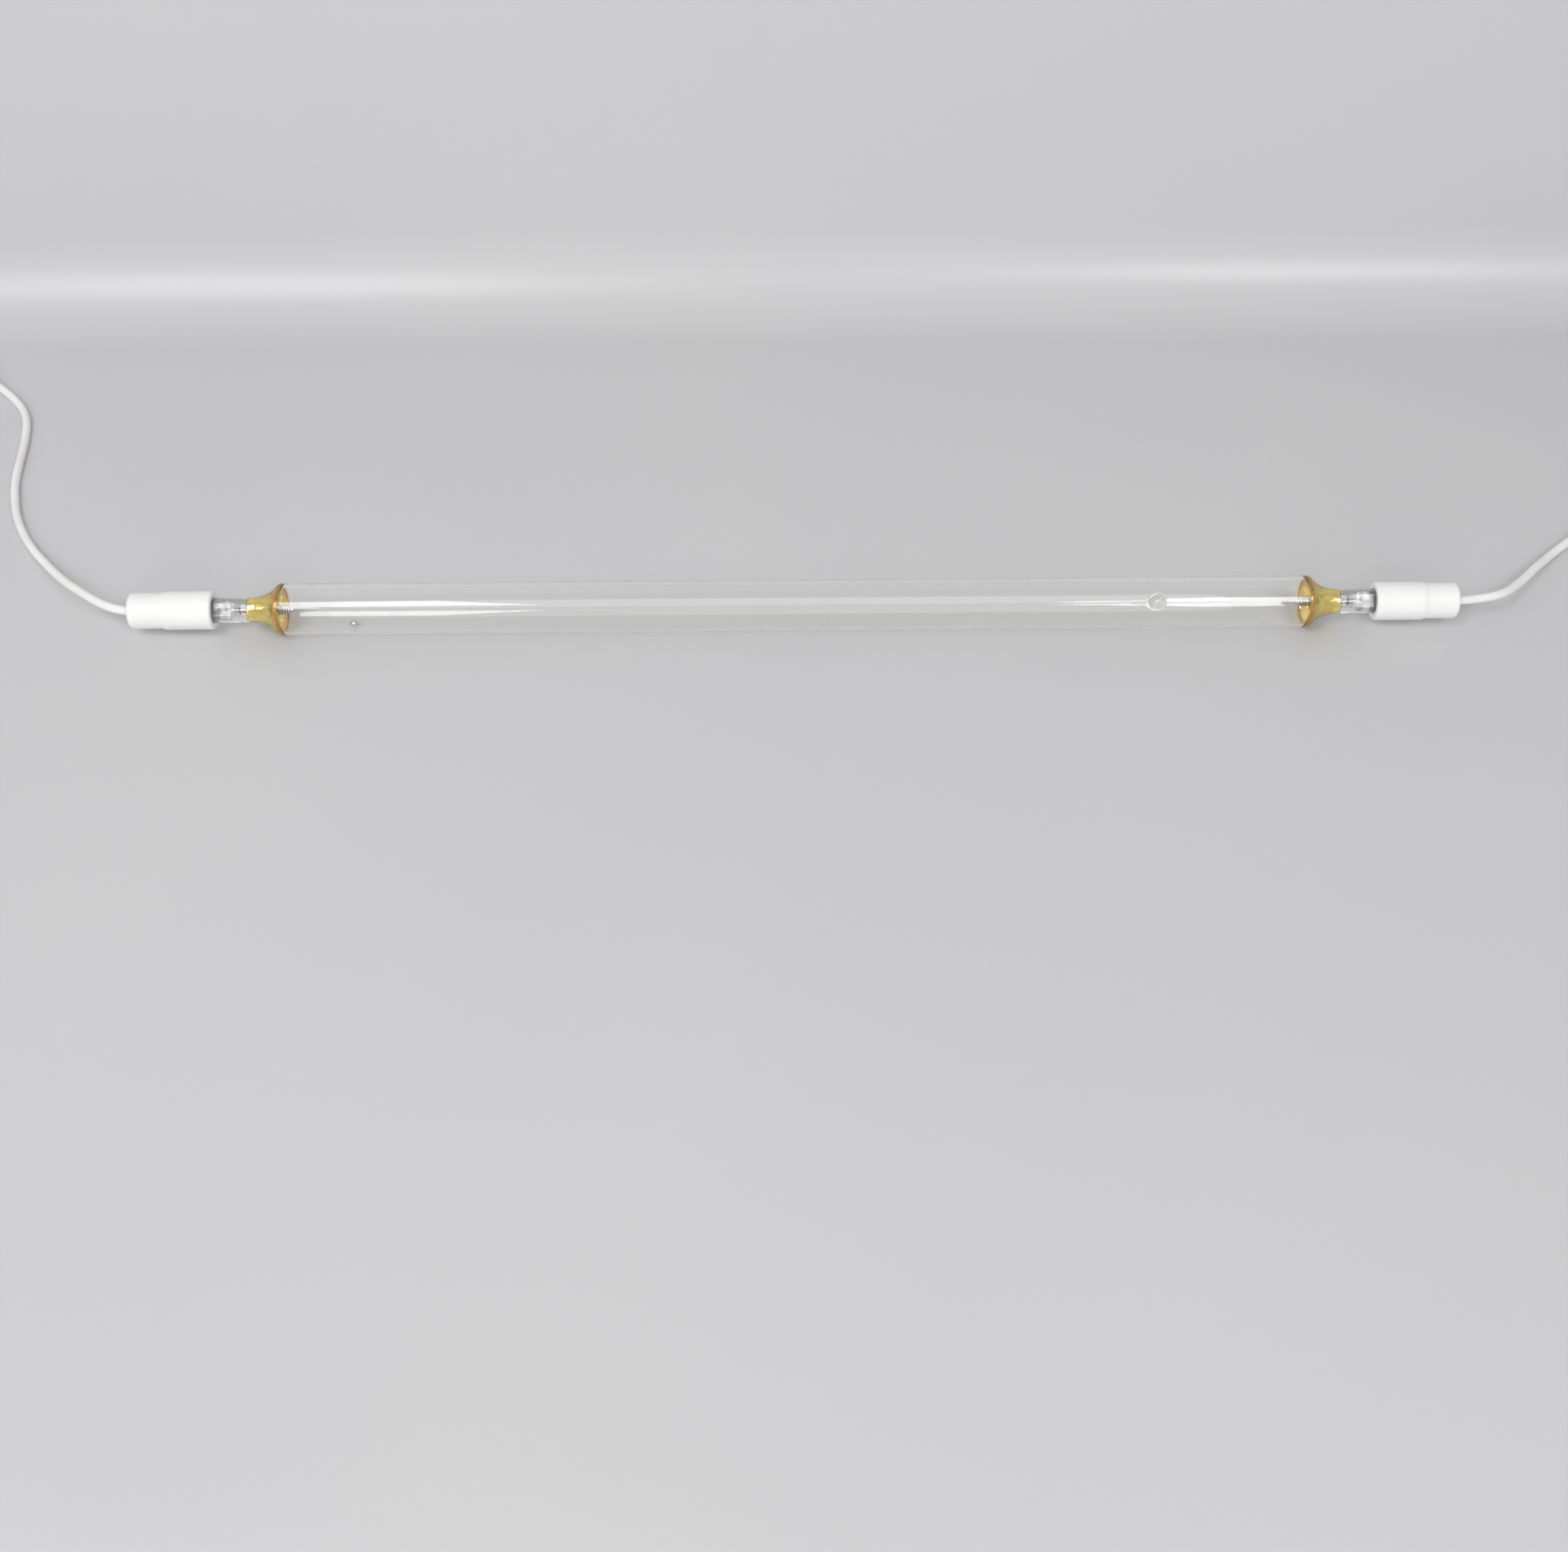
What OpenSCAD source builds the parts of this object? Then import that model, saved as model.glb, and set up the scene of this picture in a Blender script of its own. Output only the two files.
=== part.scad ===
// UV curing lamp: a clear fused quartz arc tube with a gilded shoulder, a foil seal, a ceramic
// base and an insulated lead at each end. Millimetres. X runs along the lamp, Z is up, and the
// tube lies on the plane z = 0 with the origin below its middle.

/* [Arc tube] */
// Outer diameter of the quartz tube
tube_d = 22; // [18:0.5:30]
// Wall of the quartz tube
tube_wall = 1.3; // [1:0.1:1.8]
// Length of the tube from shoulder to shoulder
shoulder_span = 430; // [360:5:560]
// Distance of the exhaust tip from the right shoulder
tip_inset = 65; // [40:5:150]
// Turn of the exhaust tip about the tube, from straight up towards the front
tip_turn = 45; // [20:5:70]
// Height of the exhaust tip above the tube
tip_h = 3.5; // [2.5:0.1:3.5]
// Radius of the rounded end of the exhaust tip
tip_r = 1.8; // [1.4:0.1:2]

/* [Shoulders and seals] */
// Inward drop of the rounded shoulder before the flare begins
shoulder_drop = 0.9; // [0.6:0.1:1.4]
// Distance from the shoulder plane to the start of the flare
flare_start = 1.4; // [1:0.1:2]
// Length of the flare from its start down to the neck
flare_len = 12.6; // [10:0.2:16]
// Power of the flare curve, higher is more sharply waisted
flare_power = 2.7; // [2:0.1:3.2]
// Diameter of the neck and of the seal
neck_d = 10.2; // [9.6:0.1:10.4]
// How far the seal swells at its middle, on the radius
seal_bulge = 0.1; // [0:0.02:0.14]
// Length of the seal beyond the neck
seal_len = 27; // [25:0.5:29]
// Distance between the two pressed faces of the seal
seal_flat = 8.6; // [7.6:0.1:9.2]
// Turn of the pressed faces about the lamp, from level towards the front
seal_turn = 45; // [0:5:90]
// How far the pointed end of the arc chamber runs into the seal
chamber_reach = 3; // [2:0.5:4]
// Thickness of the gold lustre on the shoulder
coat_t = 0.14; // [0.1:0.01:0.15]

/* [Electrodes] */
// Diameter of the tungsten rod
rod_d = 2; // [1.6:0.1:2.2]
// How far the rod reaches into the arc tube past the shoulder plane
rod_reach = 5; // [3:0.5:8]
// Wire diameter of the winding on the rod
winding_wire_d = 1.05; // [0.8:0.05:1.3]
// Turns in the winding
winding_turns = 6; // [4:1:7]
// Bare end of the rod ahead of the winding
rod_tip = 0.8; // [0.4:0.1:1.2]
// Width of the sealing foil
foil_w = 6; // [4:0.25:6.5]
// Thickness of the sealing foil
foil_t = 0.2; // [0.1:0.05:0.3]
// Length of solid seal between the neck and the foil
foil_lead_in = 6.6; // [6:0.2:8]
// Length of solid seal beyond the foil
foil_cover = 3; // [2:0.2:4]
// How far the rod and the pin lie on the foil, where they are welded
weld_len = 1.6; // [1:0.1:2]
// Diameter of the outer lead pin
pin_d = 1.5; // [1:0.1:1.7]
// Diameter of the drop of mercury
bead_d = 2.8; // [1.5:0.1:4]
// Distance of the drop from the left shoulder
bead_inset = 29; // [20:1:150]

/* [Ceramic bases] */
// Diameter of the front section
base_d = 16; // [15:0.5:20]
// Diameter of the rear section
base_rear_d = 15; // [13:0.5:15]
// Length of the front section
base_front_len = 21; // [19:0.5:26]
// Length of the rear section
base_rear_len = 14; // [12:0.5:18]
// Length of the seal that the base holds
seal_grip = 13; // [11:0.5:15]
// Rounding of the front edge
base_front_round = 1.1; // [0.5:0.1:1.5]
// Rounding of the rear edge
base_rear_round = 1.5; // [0.5:0.1:2]
// Length of the bevel between the two sections
base_bevel = 1.2; // [0.6:0.1:2]
// Diameter of the bore that takes the seal
socket_d = 10.8; // [10.8:0.1:11.6]
// Room left in the bore behind the end of the seal
socket_room = 3; // [2:0.5:4]
// Diameter of the passage behind the bore
passage_d = 6.4; // [5:0.2:8]
// Length of the hole that guides the lead out of the rear
lead_hole_len = 6; // [4:0.5:7]
// Depth at which the cement starts behind the front face
cement_inset = 2.5; // [1:0.5:4]

/* [Leads] */
// Diameter of the insulated lead
lead_d = 3.6; // [3:0.1:3.8]
// Diameter of the stranded core inside the insulation
core_d = 1.8; // [1.2:0.1:2]
// Outer diameter of the crimped splice
splice_d = 3; // [2.8:0.1:4]
// Length of the crimped splice
splice_len = 10; // [8:0.5:11]
// Radius of the ring that each lead is coiled on, at the middle of its turns
coil_r = 18.5; // [17:0.5:20]
// Turns in the left coil
coil_turns_left = 2.43; // [2.43:0.01:2.46]
// Turns in the right coil
coil_turns_right = 3.4; // [3.36:0.01:3.44]

/* [Ends of the leads] */
// Outer diameter of the terminal's ring
ring_d = 8; // [7:0.5:10]
// Diameter of the terminal's screw eye
eye_d = 4.3; // [3.2:0.1:5.3]
// Thickness of the terminal's metal
ring_t = 0.8; // [0.6:0.1:1]
// Width of the terminal's tongue
tongue_w = 3; // [2:0.25:3.25]
// Length of the terminal's crimp barrel
barrel_len = 7; // [6:0.5:9]
// Distance from the end of the barrel to the middle of the eye
eye_reach = 8; // [7:0.5:10]
// Outer diameter of the sleeve over the barrel
sleeve_d = 5.4; // [5.2:0.1:6]
// Length of lead that the sleeve covers
sleeve_grip = 5; // [3:0.5:8]

/* [Coil ties] */
// Width of the tie's band
tie_w = 2.5; // [2:0.1:3]
// Thickness of the tie's band
tie_t = 0.8; // [0.6:0.1:1]
// Side of the tie's square head
tie_head = 4.4; // [3.6:0.2:5]

/* [Hidden] */

$fn = 64;
LEFT = -1;
RIGHT = 1;

// Small running clearance between pieces that seat in each other
fit = 0.03;
// Clearance between the lead and what it is drawn through
slip = 0.05;
// Length by which a cut runs past the face that it opens
past = 0.5;

tube_r = tube_d / 2;
axis_z = tube_r;
shoulder_x = shoulder_span / 2;
bore_r = tube_r - tube_wall;
neck_r = neck_d / 2;
neck_x = flare_start + flare_len;
seal_end = neck_x + seal_len;
tip_x = shoulder_x - tip_inset;
bead_x = bead_inset - shoulder_x;
rod_r = rod_d / 2;
lead_r = lead_d / 2;

// Arc chamber inside the flare
chamber_drop = 1;
chamber_start = 0.1;
chamber_power = 2.2;
chamber_end_r = rod_r + 0.6;
chamber_end = neck_x + chamber_reach;
chamber_round = 0.5;

// Foil and what is welded on it: rod_end and pin_start are where each weld ends
foil_start = neck_x + foil_lead_in;
foil_end = seal_end - foil_cover;
foil_len = foil_end - foil_start;
rod_end = foil_start + weld_len;
pin_start = foil_end - weld_len;

// Ceramic base
base_r = base_d / 2;
base_rear_r = base_rear_d / 2;
base_front = seal_end - seal_grip;
socket_depth = seal_grip + socket_room;
base_step = base_front + base_front_len;
base_rear = base_step + base_rear_len;
socket_end = base_front + socket_depth;
lead_hole_start = base_rear - lead_hole_len;
lead_hole_d = lead_d + 0.8;
mouth_round = 0.6;

// Splice behind the seal: the pin comes in at its front and the core at its rear
splice_start = socket_end + 1;
splice_end = splice_start + splice_len;
pin_end = splice_start + splice_len / 2;
insulation_end = splice_end + 1;
splice_bore_d = max(pin_d, core_d) + 2 * slip;

// Routes of the leads, from inside each base to where the coil takes over
ROUTE_LEFT = [
    [-279, 0, 11], [-286.5, 2, 11], [-294, 6.5, 10.7], [-302, 13, 9.9], [-310, 20.5, 8.3],
    [-318, 29.5, 6.1], [-325.5, 39, 3.9], [-332.5, 48, 2.4], [-339, 57.5, 1.8], [-344, 66.5, 1.8],
    [-348, 75.5, 1.8], [-351, 85, 1.8], [-353.5, 94.5, 1.8], [-355, 104, 1.8], [-356, 113.5, 1.8],
    [-357, 124, 1.8], [-358.5, 133.5, 1.8], [-360.5, 142.5, 1.8], [-364.5, 151.5, 1.8],
    [-370, 159, 1.8], [-376, 165.5, 1.8], [-382.5, 171.5, 2.3]
];
ROUTE_RIGHT = [
    [279, 0, 11], [287, 0.8, 11], [295, 3, 10.5], [302, 7, 9.5], [309, 13.5, 8], [315, 20, 6.5],
    [321, 27, 4.9], [328, 34.3, 3.4], [335, 41.2, 2.4], [343, 48, 2.2]
];

// Routes of the tails, from where the coil lets go to the end of the insulation
TAIL_LEFT = [[-425.1, 148, 4.2], [-423, 142.4, 3], [-421.3, 138, 2.7], [-419.8, 134, 2.7]];
TAIL_END_LEFT = [-417.7, 128.4, 2.7];
TAIL_RIGHT = [
    [392.4, 26.1, 4.9], [391.1, 20.2, 3.6], [389.9, 14.3, 2.4], [388.7, 8.5, 1.9],
    [387.4, 2.6, 2.3], [386.2, -3.3, 2.7]
];
TAIL_END_RIGHT = [384.8, -9.6, 2.7];

// Each coil: middle, angle at which the lead comes in, way round, turns, strands in the bundle,
// and the angle of its tie
COIL_LEFT = [[-413, 174], 46, 1, coil_turns_left, 3, 120];
COIL_RIGHT = [[376, 50], 132, -1, coil_turns_right, 4, 60];
coil_in_len = 16;
coil_out_len = 14;
tie_slack = 0.1;

function unit(v) = v / norm(v);
function heading(a, b) = atan2(b[1] - a[1], b[0] - a[0]);

// Points of an arc about c, from angle a to angle b
function arc(c, r, a, b, steps) =
    [for (i = [0:steps]) c + r * [cos(a + (b - a) * i / steps), sin(a + (b - a) * i / steps)]];

// A rounded shoulder followed by a flare that narrows as a power curve, as [along, radius]
function flare(r_tube, drop, start, end, r_end, power, steps) =
    let (
        r_start = r_tube - drop,
        len = end - start,
        slope = atan((r_start - r_end) * power / len),
        round_r = drop / (1 - cos(slope)),
        round_c = [start - round_r * sin(slope), r_tube - round_r]
    )
    concat(
        arc(round_c, round_r, 90, 90 - slope, 6),
        [for (i = [1:steps])
            let (t = i / steps) [start + len * t, r_end + (r_start - r_end) * pow(1 - t, power)]]
    );

function outer_flare() =
    flare(tube_r, shoulder_drop, flare_start, neck_x, neck_r, flare_power, 14);

// Radius of the seal's barrel, from its neck at t = 0 to its end at t = 1
function seal_radius(t) = neck_r + seal_bulge * sin(180 * t);

function seal_profile() = [for (i = [1:8]) [neck_x + seal_len * i / 8, seal_radius(i / 8)]];

// Places of the strand in a coil after t turns: the strands wind about the ring as they go round
function bundle_r(coil) = lead_r / sin(180 / coil[4]);
function bundle_outer(coil) = bundle_r(coil) + lead_r;
function coil_lift(coil) = bundle_outer(coil) + tie_slack + tie_t;
function coil_angle(coil, t) = coil[1] + coil[2] * 360 * t;
function coil_spin(coil, t) = -(180 + 360 * t) / coil[4];
function coil_point(coil, t) =
    let (
        r = coil_r + bundle_r(coil) * cos(coil_spin(coil, t)),
        z = coil_lift(coil) + bundle_r(coil) * sin(coil_spin(coil, t)),
        a = coil_angle(coil, t)
    )
    [coil[0][0] + r * cos(a), coil[0][1] + r * sin(a), z];
function coil_way(coil, t) =
    let (a = coil_angle(coil, t)) coil[2] * [-sin(a), cos(a), 0];

// Rings of a tube along a path, each square to the path, and at its ends square to ends[0]
// and ends[1] where those are given
function way(path, i, ends) =
    i == 0 && ends[0] != undef ? ends[0]
    : i == len(path) - 1 && ends[1] != undef ? ends[1]
    : unit(path[min(i + 1, len(path) - 1)] - path[max(i - 1, 0)]);
function ring(path, i, r, sides, ends) =
    let (t = way(path, i, ends), s = unit(cross(t, [0, 0, 1])), u = cross(s, t))
    [for (k = [0:sides - 1]) path[i] + r * (cos(360 * k / sides) * s + sin(360 * k / sides) * u)];

module tube_along(path, d, sides, ends = [undef, undef]) {
    rings = len(path);
    points = [for (i = [0:rings - 1]) each ring(path, i, d / 2, sides, ends)];
    start = [for (k = [sides - 1:-1:0]) k];
    end = [for (k = [0:sides - 1]) (rings - 1) * sides + k];
    side = [for (i = [0:rings - 2], k = [0:sides - 1])
        let (a = i * sides, n = (k + 1) % sides) [a + k, a + n, a + sides + n, a + sides + k]];
    polyhedron(points = points, faces = concat([start, end], side), convexity = 6);
}

// Puts children at one end of the lamp: local Z runs outwards from the shoulder plane
module at_end(side) {
    mirror([side == LEFT ? 1 : 0, 0, 0])
        translate([shoulder_x, 0, axis_z]) rotate([0, 90, 0]) children();
}

// Turns children to the plane of the foil: local X is square to it and local Y lies across it
module at_foil(side) {
    at_end(side) rotate([0, 0, seal_turn]) children();
}

// A solid or hollow turned from a list of [along, radius] points, closed along the axis
module turned(profile) {
    last = len(profile) - 1;
    rotate_extrude() polygon(concat(
        [[0, profile[0][0]]],
        [for (p = profile) [p[1], p[0]]],
        [[0, profile[last][0]]]
    ));
}

module rod_between(from, to, d) {
    translate([0, 0, from]) cylinder(d = d, h = to - from);
}

// The quartz body at one end, from the middle of the tube to the end of the seal
module quartz_end(side) {
    at_end(side) turned(concat([[-shoulder_x, tube_r]], outer_flare(), seal_profile()));
}

module chamber_end_space(side) {
    profile = flare(bore_r, chamber_drop, chamber_start, chamber_end - chamber_round,
        chamber_end_r, chamber_power, 12);
    at_end(side) turned(concat([[-shoulder_x, bore_r]], profile, [[chamber_end, rod_r + fit]]));
}

// Press marks on both faces of a seal, which run out in a slope before the neck
module seal_press(side) {
    reach = neck_r + 2;
    for (face = [0, 180])
        at_foil(side) rotate([0, 0, face]) rotate([90, 0, 0])
            linear_extrude(height = 2 * reach, center = true)
                polygon([
                    [reach, neck_x + 1], [neck_r, neck_x + 1], [seal_flat / 2, neck_x + 4.5],
                    [seal_flat / 2, seal_end + past], [reach, seal_end + past]
                ]);
}

// Room in a seal for the rod, the foil and the pin
module seal_pocket(side) {
    at_end(side) {
        rod_between(chamber_end - past, rod_end + fit, rod_d + 2 * fit);
        rod_between(pin_start - fit, seal_end + past, pin_d + 2 * fit);
    }
    at_foil(side) foil_shape(fit);
}

module foil_shape(grow) {
    translate([-foil_t - grow, -foil_w / 2 - grow, foil_start - grow])
        cube([foil_t + 2 * grow, foil_w + 2 * grow, foil_len + 2 * grow]);
}

// The exhaust tip: a cone with a hollow foot that was melted shut, in a frame whose Z leaves
// the lamp's axis
module at_tip() {
    translate([tip_x, 0, axis_z]) rotate([tip_turn, 0, 0]) children();
}

module tip_shape() {
    foot = bore_r + tube_wall / 2;
    foot_r = 2.5 * tip_r;
    top = tube_r + tip_h;
    shank = top - tip_r;
    flank = [for (i = [0:8]) let (t = i / 8)
        [foot + (shank - foot) * t, tip_r + (foot_r - tip_r) * pow(1 - t, 2)]];
    turned(concat(flank, arc([shank, 0], tip_r, 75, 0, 6)));
}

module tip_hollow() {
    translate([0, 0, bore_r - 1])
        cylinder(r1 = 0.8 * tip_r, r2 = 0.15 * tip_r, h = tube_wall + 1 + tip_h / 2);
}

module quartz_envelope() {
    color("azure", 0.35) difference() {
        union() {
            quartz_end(LEFT);
            quartz_end(RIGHT);
            at_tip() tip_shape();
        }
        at_tip() tip_hollow();
        for (side = [LEFT, RIGHT]) {
            chamber_end_space(side);
            seal_press(side);
            seal_pocket(side);
        }
    }
}

module mercury_bead() {
    color("silver")
        translate([bead_x, 0, axis_z - bore_r + bead_d / 2]) sphere(d = bead_d);
}

// The lustre follows the flare from just outside the shoulder plane to the neck
module gold_coat(side) {
    line = [for (p = outer_flare()) if (p[0] > 0 && p[1] + coat_t < tube_r) p];
    inner = [for (p = line) [p[1] + fit / 2, p[0]]];
    outer = [for (i = [len(line) - 1:-1:0]) [line[i][1] + coat_t, line[i][0]]];
    color("goldenrod") at_end(side) rotate_extrude() polygon(concat(inner, outer));
}

// The rod is ground flat where it lies on the foil
module electrode_rod(side) {
    color("dimgray") difference() {
        at_end(side) rod_between(-rod_reach, rod_end, rod_d);
        at_foil(side) translate([-rod_d, -rod_d, foil_start - fit])
            cube([rod_d + fit / 2, 2 * rod_d, foil_len]);
    }
}

module electrode_winding(side) {
    pitch = winding_wire_d + fit;
    ring_r = rod_r + winding_wire_d / 2 + fit;
    start = -rod_reach + rod_tip + winding_wire_d / 2;
    steps = 12;
    path = [for (i = [0:steps * winding_turns])
        let (a = 360 * i / steps) [ring_r * cos(a), ring_r * sin(a), start + pitch * i / steps]];
    color("gray") at_end(side) tube_along(path, winding_wire_d, 6);
}

module sealing_foil(side) {
    color("lightslategray") at_foil(side) foil_shape(0);
}

module lead_pin(side) {
    color("dimgray") difference() {
        at_end(side) rod_between(pin_start, pin_end, pin_d);
        at_foil(side) translate([-pin_d, -pin_d, foil_start])
            cube([pin_d + fit / 2, 2 * pin_d, foil_len + fit]);
    }
}

module ceramic_base(side) {
    outline = concat(
        arc([base_front + base_front_round, base_r - base_front_round], base_front_round, 180, 90, 6),
        [[base_step - base_bevel / 2, base_r], [base_step + base_bevel / 2, base_rear_r]],
        arc([base_rear - base_rear_round, base_rear_r - base_rear_round], base_rear_round, 90, 0, 6)
    );
    socket_r = socket_d / 2;
    mouth = arc([base_front + mouth_round, socket_r + mouth_round], mouth_round, 180, 270, 6);
    color("whitesmoke") at_end(side) difference() {
        turned(outline);
        rod_between(base_front - past, socket_end, socket_d);
        rotate_extrude() polygon(concat(
            [[socket_r - past, base_front - past]],
            [[socket_r + mouth_round, base_front - past]],
            [for (p = mouth) [p[1], p[0]]],
            [[socket_r - past, base_front + mouth_round]]
        ));
        rod_between(socket_end - past, lead_hole_start, passage_d);
        rod_between(lead_hole_start - past, base_rear + past, lead_hole_d);
    }
}

// Cement that holds the seal in the base, and closes the bore round the pin
module cement(side) {
    color("gainsboro") difference() {
        at_end(side) rod_between(base_front + cement_inset, socket_end - fit, socket_d - 2 * fit);
        difference() {
            at_end(side) turned([
                [base_front, neck_r + seal_bulge + fit],
                [seal_end + fit, neck_r + seal_bulge + fit]
            ]);
            cement_pads(side);
        }
        at_end(side) rod_between(seal_end, socket_end + past, pin_d + 2 * fit);
    }
}

// What fills the bore beside the pressed faces of the seal
module cement_pads(side) {
    inset = seal_flat / 2 + fit;
    for (face = [0, 180])
        at_foil(side) rotate([0, 0, face])
            translate([inset, -socket_d, base_front]) cube([socket_d, 2 * socket_d, socket_depth]);
}

module crimp_splice(side) {
    dent = splice_d * 0.12;
    color("tan") at_end(side) difference() {
        rod_between(splice_start, splice_end, splice_d);
        rod_between(splice_start - past, splice_end + past, splice_bore_d);
        for (z = [splice_start + splice_len / 4, splice_end - splice_len / 4])
            translate([-splice_d / 2 - 1 + dent, -splice_d, z - 1]) cube([1, 2 * splice_d, 2]);
    }
}

module stripped_core(side) {
    color("peru") at_end(side) rod_between(pin_end + fit, insulation_end, core_d);
}

// The stretch of lead from the base to its coil
module lead_wire(side, route, coil) {
    first = [side * (shoulder_x + insulation_end), 0, axis_z];
    last = coil_point(coil, 0) - coil_in_len * coil_way(coil, 0);
    color("ivory")
        tube_along(concat([first], route, [last]), lead_d, 8, [undef, coil_way(coil, 0)]);
}

// The outer shape of a coil, with the lead's straight ends where it comes in and goes out
module lead_coil(coil) {
    turns = coil[3];
    color("ivory") {
        union() {
            translate([coil[0][0], coil[0][1], coil_lift(coil)])
                rotate_extrude() translate([coil_r, 0]) circle(r = bundle_outer(coil));
            translate(coil_point(coil, 0)) rotate([0, 0, coil_angle(coil, 0)])
                rotate([90 * coil[2], 0, 0]) cylinder(d = lead_d, h = coil_in_len);
            translate(coil_point(coil, turns)) rotate([0, 0, coil_angle(coil, turns)])
                rotate([-90 * coil[2], 0, 0]) cylinder(d = lead_d, h = coil_out_len);
        }
    }
}

module lead_tail(coil, tail, tail_end) {
    out = coil_way(coil, coil[3]);
    first = coil_point(coil, coil[3]) + coil_out_len * out;
    color("ivory") tube_along(concat([first], tail, [tail_end]), lead_d, 8, [out, undef]);
}

// A narrow strap round the bundle, with a square head on top and the cut end showing
module coil_tie(coil) {
    inner = bundle_outer(coil) + tie_slack;
    outer = inner + tie_t;
    color("white")
        translate([coil[0][0], coil[0][1], coil_lift(coil)]) rotate([0, 0, coil[5]])
            translate([coil_r, 0, 0]) rotate([90, 0, 0]) difference() {
                union() {
                    cylinder(r = outer, h = tie_w, center = true);
                    translate([0, outer + tie_head * 0.2, 0])
                        cube([tie_head, tie_head * 0.8, tie_head], center = true);
                    translate([tie_head / 2 + 1, outer - tie_t / 2, 0])
                        cube([4, tie_t, tie_w], center = true);
                }
                cylinder(r = inner, h = tie_head + 2 * past, center = true);
            }
}

// Puts children at the end of a lead: local X runs on along it
module at_lead_end(tail, tail_end) {
    translate(tail_end) rotate([0, 0, heading(tail[len(tail) - 1], tail_end)]) children();
}

module core_tip(tail, tail_end) {
    color("peru") at_lead_end(tail, tail_end)
        rotate([0, 90, 0]) cylinder(d = core_d, h = barrel_len - 0.5);
}

// The terminal's tongue leaves the underside of its barrel
module ring_terminal(tail, tail_end) {
    eye_x = barrel_len + eye_reach;
    color("silver") at_lead_end(tail, tail_end) difference() {
        union() {
            translate([fit, 0, 0]) rotate([0, 90, 0]) cylinder(d = lead_d, h = barrel_len - fit);
            translate([eye_x, 0, -lead_r]) cylinder(d = ring_d, h = ring_t);
            translate([barrel_len - 1, -tongue_w / 2, -lead_r])
                cube([eye_reach, tongue_w, ring_t]);
        }
        rotate([0, 90, 0]) translate([0, 0, -past])
            cylinder(d = core_d + 2 * slip, h = barrel_len + 2 * past);
        translate([eye_x, 0, -lead_r - past]) cylinder(d = eye_d, h = ring_t + 2 * past);
    }
}

module terminal_sleeve(tail, tail_end) {
    len = sleeve_grip + barrel_len - 1.5;
    color("white") at_lead_end(tail, tail_end)
        translate([-sleeve_grip, 0, 0]) rotate([0, 90, 0]) difference() {
            cylinder(d = sleeve_d, h = len);
            translate([0, 0, -past]) cylinder(d = lead_d + 2 * slip, h = len + 2 * past);
        }
}

quartz_envelope();
mercury_bead();
gold_coat(LEFT);  // gold_coat_left
gold_coat(RIGHT);  // gold_coat_right
electrode_rod(LEFT);  // electrode_rod_left
electrode_rod(RIGHT);  // electrode_rod_right
electrode_winding(LEFT);  // electrode_winding_left
electrode_winding(RIGHT);  // electrode_winding_right
sealing_foil(LEFT);  // sealing_foil_left
sealing_foil(RIGHT);  // sealing_foil_right
lead_pin(LEFT);  // lead_pin_left
lead_pin(RIGHT);  // lead_pin_right
ceramic_base(LEFT);  // ceramic_base_left
ceramic_base(RIGHT);  // ceramic_base_right
cement(LEFT);  // cement_left
cement(RIGHT);  // cement_right
crimp_splice(LEFT);  // crimp_splice_left
crimp_splice(RIGHT);  // crimp_splice_right
stripped_core(LEFT);  // stripped_core_left
stripped_core(RIGHT);  // stripped_core_right
lead_wire(LEFT, ROUTE_LEFT, COIL_LEFT);  // lead_wire_left
lead_wire(RIGHT, ROUTE_RIGHT, COIL_RIGHT);  // lead_wire_right
lead_coil(COIL_LEFT);  // lead_coil_left
lead_coil(COIL_RIGHT);  // lead_coil_right
lead_tail(COIL_LEFT, TAIL_LEFT, TAIL_END_LEFT);  // lead_tail_left
lead_tail(COIL_RIGHT, TAIL_RIGHT, TAIL_END_RIGHT);  // lead_tail_right
coil_tie(COIL_LEFT);  // coil_tie_left
coil_tie(COIL_RIGHT);  // coil_tie_right
core_tip(TAIL_LEFT, TAIL_END_LEFT);  // core_tip_left
core_tip(TAIL_RIGHT, TAIL_END_RIGHT);  // core_tip_right
ring_terminal(TAIL_LEFT, TAIL_END_LEFT);  // ring_terminal_left
ring_terminal(TAIL_RIGHT, TAIL_END_RIGHT);  // ring_terminal_right
terminal_sleeve(TAIL_LEFT, TAIL_END_LEFT);  // terminal_sleeve_left
terminal_sleeve(TAIL_RIGHT, TAIL_END_RIGHT);  // terminal_sleeve_right
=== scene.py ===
import math

import bmesh
import bpy
from bpy.props import (
    FloatProperty,
    FloatVectorProperty,
    IntProperty,
    PointerProperty,
)
from mathutils import Matrix, Vector, noise


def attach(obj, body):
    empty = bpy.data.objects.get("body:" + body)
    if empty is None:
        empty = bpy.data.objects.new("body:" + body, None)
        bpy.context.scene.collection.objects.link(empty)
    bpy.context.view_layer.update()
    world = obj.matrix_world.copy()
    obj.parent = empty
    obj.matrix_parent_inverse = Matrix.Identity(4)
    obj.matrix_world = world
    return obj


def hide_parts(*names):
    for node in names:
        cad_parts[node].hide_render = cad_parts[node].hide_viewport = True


bl_info = {
    "name": "UV curing lamp",
    "version": (1, 0, 0),
    "blender": (4, 5, 0),
    "location": "3D View > Sidebar > UV Lamp",
    "description": "A clear quartz curing lamp with gilded shoulders, ceramic bases and two leads",
    "category": "Object",
}

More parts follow.
